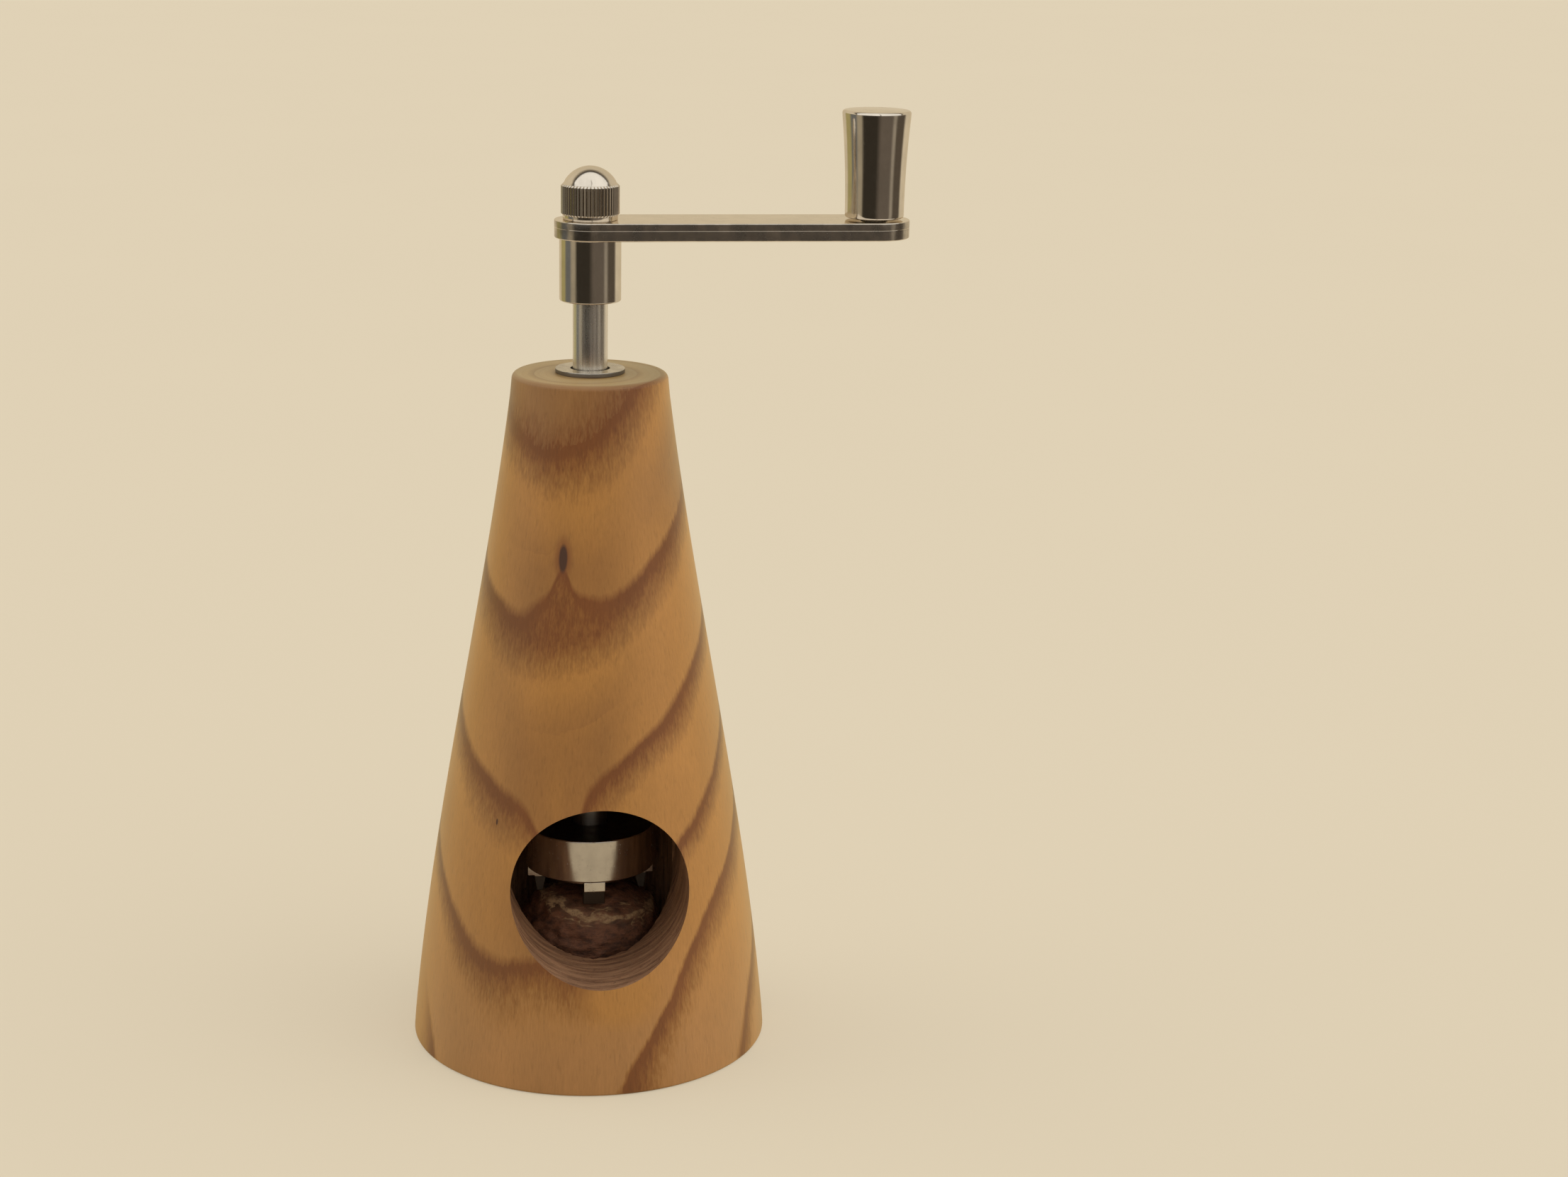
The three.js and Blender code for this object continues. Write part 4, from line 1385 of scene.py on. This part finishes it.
@dataclass
class Crank:
    """The boss, the arm and the knurled cap nut."""

    boss: float = 5.3
    boss_bore: float = 3.3
    boss_low: float = 133.7
    arm_low: float = 144.5
    arm_high: float = 147.6
    arm_end: float = 6.15
    step_height: float = 1.85
    step_groove: float = 0.06
    pin_head: float = 2.9
    pin_gap: float = 0.3
    pin_hole: float = 2.3
    pin_sink: float = 1.2
    nut: float = 5.0
    nut_foot: float = 4.7
    nut_core: float = 4.0
    knurl_low: float = 0.75
    knurl_high: float = 5.7
    knurl_depth: float = 0.32
    tooth_edge: float = 0.3
    ridges: int = 48
    ledge: float = 6.45
    dome_handle: float = 2.25
    nut_height: float = 9.05

    def sleeve(self) -> bpy.types.Object:
        """Turns the boss under the arm.

        Returns:
            The dressed boss.
        """
        sleeve = Workpiece.turned([
            Corner(self.boss_bore, self.boss_low, 0.15), Corner(self.boss, self.boss_low, 0.28),
            Corner(self.boss, self.arm_low, 0.2), Corner(self.boss_bore, self.arm_low),
        ], 128, ring=True)
        return sleeve.finished("crank_sleeve", Rides.SPINDLE, Slot.POLISHED_STEEL, [POLISHED], ["crank_boss"])

    def bar(self) -> bpy.types.Object:
        """Makes the arm, with the fine step that shearing leaves along its side.

        Returns:
            The dressed arm.
        """
        step, end, groove = self.arm_low + self.step_height, self.arm_end, self.step_groove
        bar = Workpiece.slab([
            Corner(0, self.arm_low), Corner(end - groove / 4, self.arm_low, 0.24),
            Corner(end - groove / 4, step - groove), Corner(end - groove, step),
            Corner(end, step + groove / 2), Corner(end, self.arm_high, 0.18), Corner(0, self.arm_high),
        ], ARM_LENGTH)
        head_hole = self.pin_head + self.pin_gap
        bar.cut(Workpiece.turned([
            Corner(0, self.arm_low - OVERRUN), Corner(head_hole, self.arm_low - OVERRUN),
            Corner(head_hole, self.arm_low), Corner(self.pin_hole, self.arm_low + self.pin_sink),
            Corner(self.pin_hole, self.arm_high + OVERRUN), Corner(0, self.arm_high + OVERRUN),
        ], 64).moved(ARM_LENGTH))
        bar.second_finish(lambda face: abs(face.normal.z) < 0.3)
        return bar.finished(
            "crank_bar", Rides.SPINDLE, Slot.POLISHED_STEEL, [POLISHED, SHEARED], ["crank_arm"],
        )

    def knurl(self) -> Workpiece:
        """Makes the ridged grip of the nut, its ridges chamfered at both ends.

        Returns:
            The grip, closed at both ends.
        """
        piece = Workpiece()
        mesh = piece.mesh
        low, high = self.arm_high + self.knurl_low, self.arm_high + self.knurl_high
        levels = [(low, 0.0), (low + self.tooth_edge, 1.0), (high, 1.0), (high + self.tooth_edge, 0.0)]
        root = self.nut - self.knurl_depth
        bmesh.ops.create_circle(mesh, segments=self.ridges * 8, radius=root)
        loop = mesh.edges[:]
        for number, (height, share) in enumerate(levels):
            if number:
                drawn = bmesh.ops.extrude_edge_only(mesh, edges=loop)["geom"]
                loop = [part for part in drawn if isinstance(part, bmesh.types.BMEdge)]
            for vert in {vert for edge in loop for vert in edge.verts}:
                angle = math.atan2(vert.co.y, vert.co.x)
                ridge = abs(math.cos(angle * self.ridges / 2)) ** 0.8
                radius = root + self.knurl_depth * share * ridge
                vert.co = (radius * math.cos(angle), radius * math.sin(angle), height)
        bmesh.ops.holes_fill(mesh, edges=[edge for edge in mesh.edges if edge.is_boundary], sides=0)
        return piece.cleaned()

    def cap(self) -> bpy.types.Object:
        """Turns the nut's foot and dome and joins them to its ridged grip.

        Returns:
            The dressed cap nut.
        """
        foot = self.arm_high
        grip_low, grip_high = foot + self.knurl_low + 0.1, foot + self.knurl_high
        ledge, top = foot + self.ledge, foot + self.nut_height
        root = self.nut - self.knurl_depth
        crown = bent(
            Corner(root - 0.3, ledge), Corner(root - 0.78, ledge + 1.05), Corner(self.dome_handle, top),
            Corner(0, top), 28,
        )
        core = Workpiece.turned([
            Corner(0, foot), Corner(self.nut_foot, foot, 0.15), Corner(self.nut_foot, grip_low),
            Corner(self.nut_core, grip_low), Corner(self.nut_core, grip_high), Corner(root, grip_high),
            Corner(root, grip_high + self.tooth_edge + 0.02), Corner(root - 0.25, ledge - 0.1), *crown,
        ], 128)
        core.joined([self.knurl()])
        return core.finished(
            "domed_nut", Rides.SPINDLE, Slot.POLISHED_STEEL, [POLISHED], ["cap_nut"], crease=26.0,
        )

    def make(self) -> list[bpy.types.Object]:
        """Returns the boss, the arm and the nut."""
        return [self.sleeve(), self.bar(), self.cap()]


@dataclass
class Knob:
    """The flared knob and the pin that it turns on."""

    low: float = 147.9
    high: float = 166.3
    foot: float = 5.1
    head: float = 5.95
    edge: float = 0.5
    crown: float = 0.08
    waist_height: float = 6.3
    flare: float = 5.38
    flare_height: float = 12.0
    bore: float = 2.3
    bore_cover: float = 3.5
    ring: float = 3.2
    ring_low: float = 159.2
    ring_high: float = 160.4
    pin: float = 2.0
    pin_groove: float = 0.5
    pin_head: float = 2.9
    pin_head_height: float = 1.2
    pin_low: float = 144.5
    pin_top: float = 162.5

    def grip(self) -> bpy.types.Object:
        """Turns the knob, with its bore and the snap ring's groove.

        Returns:
            The dressed knob.
        """
        rim = self.high - self.crown
        side = bent(
            Corner(self.foot, self.low + 0.5), Corner(self.foot, self.low + self.waist_height),
            Corner(self.flare, self.low + self.flare_height), Corner(self.head, rim - self.edge), 28,
        )
        bore_top = self.high - self.bore_cover
        knob = Workpiece.turned([
            Corner(0, bore_top), Corner(self.bore, bore_top), Corner(self.bore, self.ring_high),
            Corner(self.ring, self.ring_high), Corner(self.ring, self.ring_low),
            Corner(self.bore, self.ring_low), Corner(self.bore, self.low, 0.2),
            Corner(self.foot, self.low, 0.4), *side[1:-1], Corner(self.head, rim, self.edge),
            Corner(self.head * 0.5, self.high - self.crown / 4), Corner(0, self.high),
        ], 128).moved(ARM_LENGTH)
        return knob.finished("flared_knob", Rides.KNOB, Slot.POLISHED_STEEL, [POLISHED], ["knob"])

    def stud(self) -> bpy.types.Object:
        """Turns the pin, whose head lies flush under the arm.

        Returns:
            The dressed pin.
        """
        groove = self.pin - self.pin_groove
        stud = Workpiece.turned([
            Corner(0, self.pin_low), Corner(self.pin_head, self.pin_low, 0.1),
            Corner(self.pin, self.pin_low + self.pin_head_height), Corner(self.pin, self.ring_low),
            Corner(groove, self.ring_low), Corner(groove, self.ring_high), Corner(self.pin, self.ring_high),
            Corner(self.pin, self.pin_top, 0.4), Corner(0, self.pin_top),
        ], 64).moved(ARM_LENGTH)
        return stud.finished("riveted_pin", Rides.SPINDLE, Slot.BRUSHED_STEEL, [BRUSHED], ["knob_pin"])

    def make(self) -> list[bpy.types.Object]:
        """Returns the knob and its pin."""
        return [self.grip(), self.stud()]


@dataclass
class Nutmeg:
    """The half used nutmeg on the plate, wrinkled all over and split along one ridge."""

    long: float = 13.4
    short: float = 12.8
    bottom: float = 15.3
    equator: float = 19.0
    top: float = 28.9
    wrinkle: float = 0.45
    furrow: float = 0.4
    ridge_height: float = 24.5
    ridge_slope: float = -0.15
    ridge_bend: float = 0.010
    ridge_sway: float = 0.9
    ridge_width: float = 1.25

    def split_at(self, place: Vector) -> float:
        """Tells how near a point is to the split ridge.

        Args:
            place: the point.

        Returns:
            1 on the ridge, falling to 0 beside it.
        """
        sway = noise.noise(place * 0.45) * self.ridge_sway
        ridge = self.ridge_height + self.ridge_slope * place.x + self.ridge_bend * place.x ** 2 + sway
        return math.exp(-(((place.z - ridge) / self.ridge_width) ** 2)) if place.y < 2 else 0.0

    def make(self) -> bpy.types.Object:
        """Shapes the seed, wrinkles it and grinds its underside flat.

        Returns:
            The dressed nutmeg.
        """
        piece = Workpiece()
        mesh = piece.mesh
        bmesh.ops.create_icosphere(mesh, subdivisions=6, radius=1.0)
        dome = self.top - self.equator
        for vert in mesh.verts:
            egg = Vector((vert.co.x * self.long, vert.co.y * self.short, self.equator + vert.co.z * dome))
            folds = noise.noise(Vector((egg.x * 0.16, egg.y * 0.16, egg.z * 0.4))) * 2
            fine = noise.fractal(egg * 0.55, 1.0, 2.1, 4)
            ridge = self.split_at(egg)
            inwards = self.wrinkle * (0.9 + 0.8 * abs(folds) + 0.5 * fine) - self.furrow * ridge
            vert.co = egg - vert.normal * max(inwards, 0.02)
        cut = bmesh.ops.bisect_plane(
            mesh, geom=mesh.verts[:] + mesh.edges[:] + mesh.faces[:], plane_co=(0, 0, self.bottom),
            plane_no=(0, 0, -1), clear_outer=True,
        )
        rim = [part for part in cut["geom_cut"] if isinstance(part, bmesh.types.BMEdge)]
        bmesh.ops.holes_fill(mesh, edges=rim, sides=0)
        splits = [self.split_at(vert.co) for vert in mesh.verts]
        made = piece.finished(
            "loaded_nutmeg", Rides.NUTMEG, Slot.NUTMEG_SKIN, [NutmegSkin()], ["nutmeg"], crease=60.0,
        )
        made.data.attributes.new("split", "FLOAT", "POINT").data.foreach_set("value", splits)
        return made


# The studio


@dataclass
class Studio:
    """The floor, the soft light, what polished metal mirrors, and the camera.

    The walls are the room's brightness at each angle from the south towards the east, in degrees.
    """

    paper: Colour = seen(225, 211, 184)
    glow: float = 0.55
    room_white: Colour = (1.0, 0.985, 0.96)
    walls: tuple[tuple[float, float], ...] = (
        (-180.0, 0.66), (-150.0, 0.82), (-120.0, 2.0), (-90.0, 2.0), (-60.0, 0.45), (-30.0, 0.15),
        (0.0, 0.25), (30.0, 0.70), (60.0, 1.90), (90.0, 2.40), (120.0, 1.15), (150.0, 0.66), (180.0, 0.66),
    )
    brightest: float = 2.5
    overhead: float = 0.52
    lamp_strength: float = 0.35
    lamp_width: float = 50.0
    lamp_tilt: float = 42.0
    lamp_heading: float = 40.0
    footprint: float = 0.030
    near_floor: float = 0.25
    far_floor: float = 6.0
    floor_gap: float = 0.00005
    sensor: float = 36.0
    lens: float = 64.06
    place: Point = (-0.049515, -0.47376, 0.21149)
    heading: float = 8.689
    pitch: float = 15.143
    roll: float = 1.14
    camera_side: float = -4.57
    dark: Colour = (0.040, 0.033, 0.024)
    brown: Colour = (0.105, 0.083, 0.060)
    grey: Colour = (0.145, 0.118, 0.092)
    slit: Colour = (0.36, 0.31, 0.24)
    tan: Colour = (0.40, 0.34, 0.24)
    blue: Colour = (0.17, 0.168, 0.155)
    olive: Colour = (0.43, 0.37, 0.16)
    white: Colour = (1.08, 1.05, 0.98)

    def paper_sheet(self) -> bpy.types.Material:
        """Makes the paper: matte, a little bright by itself, and clear from below.

        Returns:
            The material.
        """
        material = bpy.data.materials.new("paper")
        material.use_nodes = True
        recipe = Recipe(material.node_tree)
        shade = recipe.math("MULTIPLY_ADD", recipe.grain((6.0, 6.0, 6.0), 2.0), 0.03, 0.985)
        shaded = recipe.mix(1.0, self.paper, shade, "MULTIPLY")
        surface = recipe.node("BsdfDiffuse", {"Color": shaded}).outputs[0]
        glowing = recipe.node("Emission", {"Color": self.paper, "Strength": 1.0}).outputs[0]
        by_eye = recipe.math("MULTIPLY", recipe.node("LightPath", {}).outputs["Is Camera Ray"], self.glow)
        surface = recipe.node("MixShader", {0: by_eye, 1: surface, 2: glowing}).outputs[0]
        clear = recipe.node("BsdfTransparent", {}).outputs[0]
        below = recipe.node("NewGeometry", {}).outputs["Backfacing"]
        surface = recipe.node("MixShader", {0: below, 1: surface, 2: clear}).outputs[0]
        recipe.node("OutputMaterial", {"Surface": surface})
        return material

    def floor(self) -> None:
        """Lays the paper: a ring near the object that metal mirrors, and the rest round it.

        The paper is open under the base, where it isn't seen, so that light reaches the underside.
        """
        paper = self.paper_sheet()
        under_it = (BODY_AXIS_X * MM, 0, -self.floor_gap)
        for name, inner, outer, mirrored in (
            ("floor_near", self.footprint, self.near_floor, True),
            ("floor_far", self.near_floor, self.far_floor, False),
        ):
            sheet = Workpiece()
            bmesh.ops.create_circle(sheet.mesh, cap_ends=False, segments=96, radius=inner)
            drawn = bmesh.ops.extrude_edge_only(sheet.mesh, edges=sheet.mesh.edges[:])["geom"]
            rim = [part for part in drawn if isinstance(part, bmesh.types.BMVert)]
            bmesh.ops.scale(sheet.mesh, vec=(outer / inner,) * 3, verts=rim)
            bmesh.ops.translate(sheet.mesh, vec=under_it, verts=sheet.mesh.verts[:])
            for face in sheet.mesh.faces:
                if face.normal.z < 0:
                    face.normal_flip()
            made = sheet.standing(name)
            made.data.materials.append(paper)
            made.visible_glossy = mirrored

    def ways(self, recipe: Recipe) -> tuple[Socket, Socket, Socket, Socket]:
        """Takes each direction apart.

        Args:
            recipe: the world's node tree.

        Returns:
            How far it points east, south and up, and its angle from south towards east in degrees.
        """
        way = recipe.node("SeparateXYZ", {0: recipe.coordinates["Generated"]}).outputs
        south = recipe.math("MULTIPLY", way[1], -1.0)
        return way[0], south, way[2], recipe.math("DEGREES", recipe.math("ARCTAN2", way[0], south))

    def room(self, recipe: Recipe) -> Socket:
        """Gives the light of the room: a wide soft panel on each side, less in front and above.

        Args:
            recipe: the world's node tree.

        Returns:
            The brightness for each direction.
        """
        _, _, up, azimuth = self.ways(recipe)
        turned = recipe.math("MULTIPLY_ADD", azimuth, 1 / 360, 0.5)
        stops = [(0.5 + degrees / 360, level / self.brightest) for degrees, level in self.walls]
        sides = recipe.ramp(turned, stops)
        up = recipe.math("MAXIMUM", up, 0.0)
        low = recipe.math("MULTIPLY_ADD", recipe.math("MULTIPLY", up, up), -self.brightest, self.brightest)
        return recipe.math("MULTIPLY_ADD", up, self.overhead, recipe.math("MULTIPLY", sides, low))

    def mirrored_sides(self, recipe: Recipe, azimuth: Socket) -> Socket:
        """Paints what upright metal mirrors: the dark room in front of it and the paper behind.

        Args:
            recipe: the world's node tree.
            azimuth: the angle from south towards east in degrees.

        Returns:
            The colour for each angle.
        """
        zones = [
            (-180.0, self.paper), (-139.0, self.paper), (-131.0, self.olive), (-110.0, self.olive),
            (-101.0, self.blue), (-81.0, self.blue), (-73.0, self.tan), (-60.0, self.tan),
            (-51.0, self.dark), (-4.0, self.dark), (12.0, self.grey), (50.0, self.grey),
            (58.0, self.slit), (63.0, self.slit), (71.0, self.brown), (101.0, self.brown),
            (111.0, self.paper), (180.0, self.paper),
        ]
        turned = recipe.math("MULTIPLY_ADD", azimuth, 1 / 360, 0.5 - self.camera_side / 360)
        return recipe.ramp(turned, [(0.5 + degrees / 360, colour) for degrees, colour in zones])

    def mirrored_ceiling(self, recipe: Recipe, ways: tuple[Socket, Socket, Socket, Socket]) -> Socket:
        """Paints what domed metal mirrors: a white panel above the front, dark at its rear edge.

        Args:
            recipe: the world's node tree.
            ways: how far each direction points east, south and up, and its angle.

        Returns:
            The colour for each direction that points upwards.
        """
        east, south, up, azimuth = ways
        height = recipe.math("MAXIMUM", up, 0.001)
        side = recipe.math("POWER", recipe.math("DIVIDE", east, height), 2.0)
        side = recipe.math("SQRT", recipe.math("ADD", side, 0.05))
        ahead = recipe.math("MULTIPLY_ADD", side, -0.27, recipe.math("DIVIDE", south, height))
        panel = recipe.ramp(recipe.math("MULTIPLY_ADD", ahead, 0.25, 0.5), [
            (0.27, self.paper), (0.365, self.brown), (0.39, self.dark), (0.415, self.white),
            (1.0, self.white),
        ])
        aside = recipe.math("ABSOLUTE", recipe.math("MULTIPLY_ADD", azimuth, 0.1, -0.3))
        post = recipe.ramp(aside, [(0.05, 1.0), (0.28, 0.0)])
        post = recipe.math("MULTIPLY", post, recipe.ramp(ahead, [(0.25, 0.0), (0.45, 1.0)]))
        return recipe.mix(post, panel, self.brown)

    def mirrored_room(self, recipe: Recipe) -> Socket:
        """Paints what polished metal mirrors all round.

        Args:
            recipe: the world's node tree.

        Returns:
            The colour for each direction.
        """
        ways = self.ways(recipe)
        risen = recipe.ramp(ways[2], [(0.10, 0.0), (0.19, 1.0)])
        sides = self.mirrored_sides(recipe, ways[3])
        return recipe.mix(risen, sides, self.mirrored_ceiling(recipe, ways))

    def light(self) -> None:
        """Makes the soft light of the room and one soft lamp above the front."""
        world = bpy.data.worlds.new("room")
        bpy.context.scene.world = world
        world.use_nodes = True
        recipe = Recipe(world.node_tree)
        soft = recipe.node("Background", {"Color": self.room_white, "Strength": self.room(recipe)}).outputs[0]
        seen_by_eye = recipe.node("Background", {"Color": self.paper, "Strength": 1.0}).outputs[0]
        mirrored = self.mirrored_room(recipe)
        mirrored = recipe.node("Background", {"Color": mirrored, "Strength": 1.0}).outputs[0]
        rays = recipe.node("LightPath", {}).outputs
        mixed = recipe.node("MixShader", {0: rays["Is Glossy Ray"], 1: soft, 2: mirrored}).outputs[0]
        mixed = recipe.node("MixShader", {0: rays["Is Camera Ray"], 1: mixed, 2: seen_by_eye}).outputs[0]
        recipe.node("OutputWorld", {"Surface": mixed})
        lamp = bpy.data.lights.new("soft_lamp", "SUN")
        lamp.energy = self.lamp_strength
        lamp.angle = math.radians(self.lamp_width)
        made = bpy.data.objects.new("soft_lamp", lamp)
        made.rotation_euler = (math.radians(self.lamp_tilt), 0.0, math.radians(self.lamp_heading))
        made.visible_glossy = False
        bpy.context.scene.collection.objects.link(made)

    def camera(self) -> None:
        """Places the camera at the picture's viewpoint."""
        data = bpy.data.cameras.new("camera")
        data.sensor_width, data.lens = self.sensor, self.lens
        data.clip_start, data.clip_end = 0.01, 50.0
        made = bpy.data.objects.new("camera", data)
        turn = (
            Matrix.Rotation(math.radians(-self.heading), 4, "Z")
            @ Matrix.Rotation(math.radians(90 - self.pitch), 4, "X")
            @ Matrix.Rotation(math.radians(self.roll), 4, "Z")
        )
        made.matrix_world = Matrix.Translation(self.place) @ turn
        bpy.context.scene.collection.objects.link(made)
        bpy.context.scene.camera = made

    def make(self) -> None:
        """Sets up the floor, the light, the camera and the plain colour transform."""
        self.floor()
        self.light()
        self.camera()
        bpy.context.scene.view_settings.view_transform = "Standard"


@dataclass
class HiddenParts:
    """The small parts inside, which stay as the frame has them and only get their finish."""

    finishes: dict[str, Finish] = field(default_factory=lambda: {
        "upper_spring_washer": BRUSHED, "thrust_washer": BRUSHED, "retaining_clip": DRAWN_WIRE,
        "claw_screw": BRUSHED, "knob_snap_ring": DRAWN_WIRE,
    })

    def make(self) -> None:
        """Dresses the frame's own pieces."""
        for name, finish in self.finishes.items():
            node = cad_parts[name]
            node.data.materials.clear()
            node.data.materials.append(finish.material())
            log.info("%s: kept, with a new finish", name)


def main() -> None:
    """Builds the studio and every sub-assembly."""
    logging.basicConfig(level=logging.INFO, format="%(message)s")
    Studio().make()
    for part in (WoodenBody(), GratingPlate(), Spring(), Nutmeg(), Spindle(), Crank(), Knob(), HiddenParts()):
        part.make()
        log.info("%s is built", type(part).__name__)


if __name__ == "__main__":
    main()
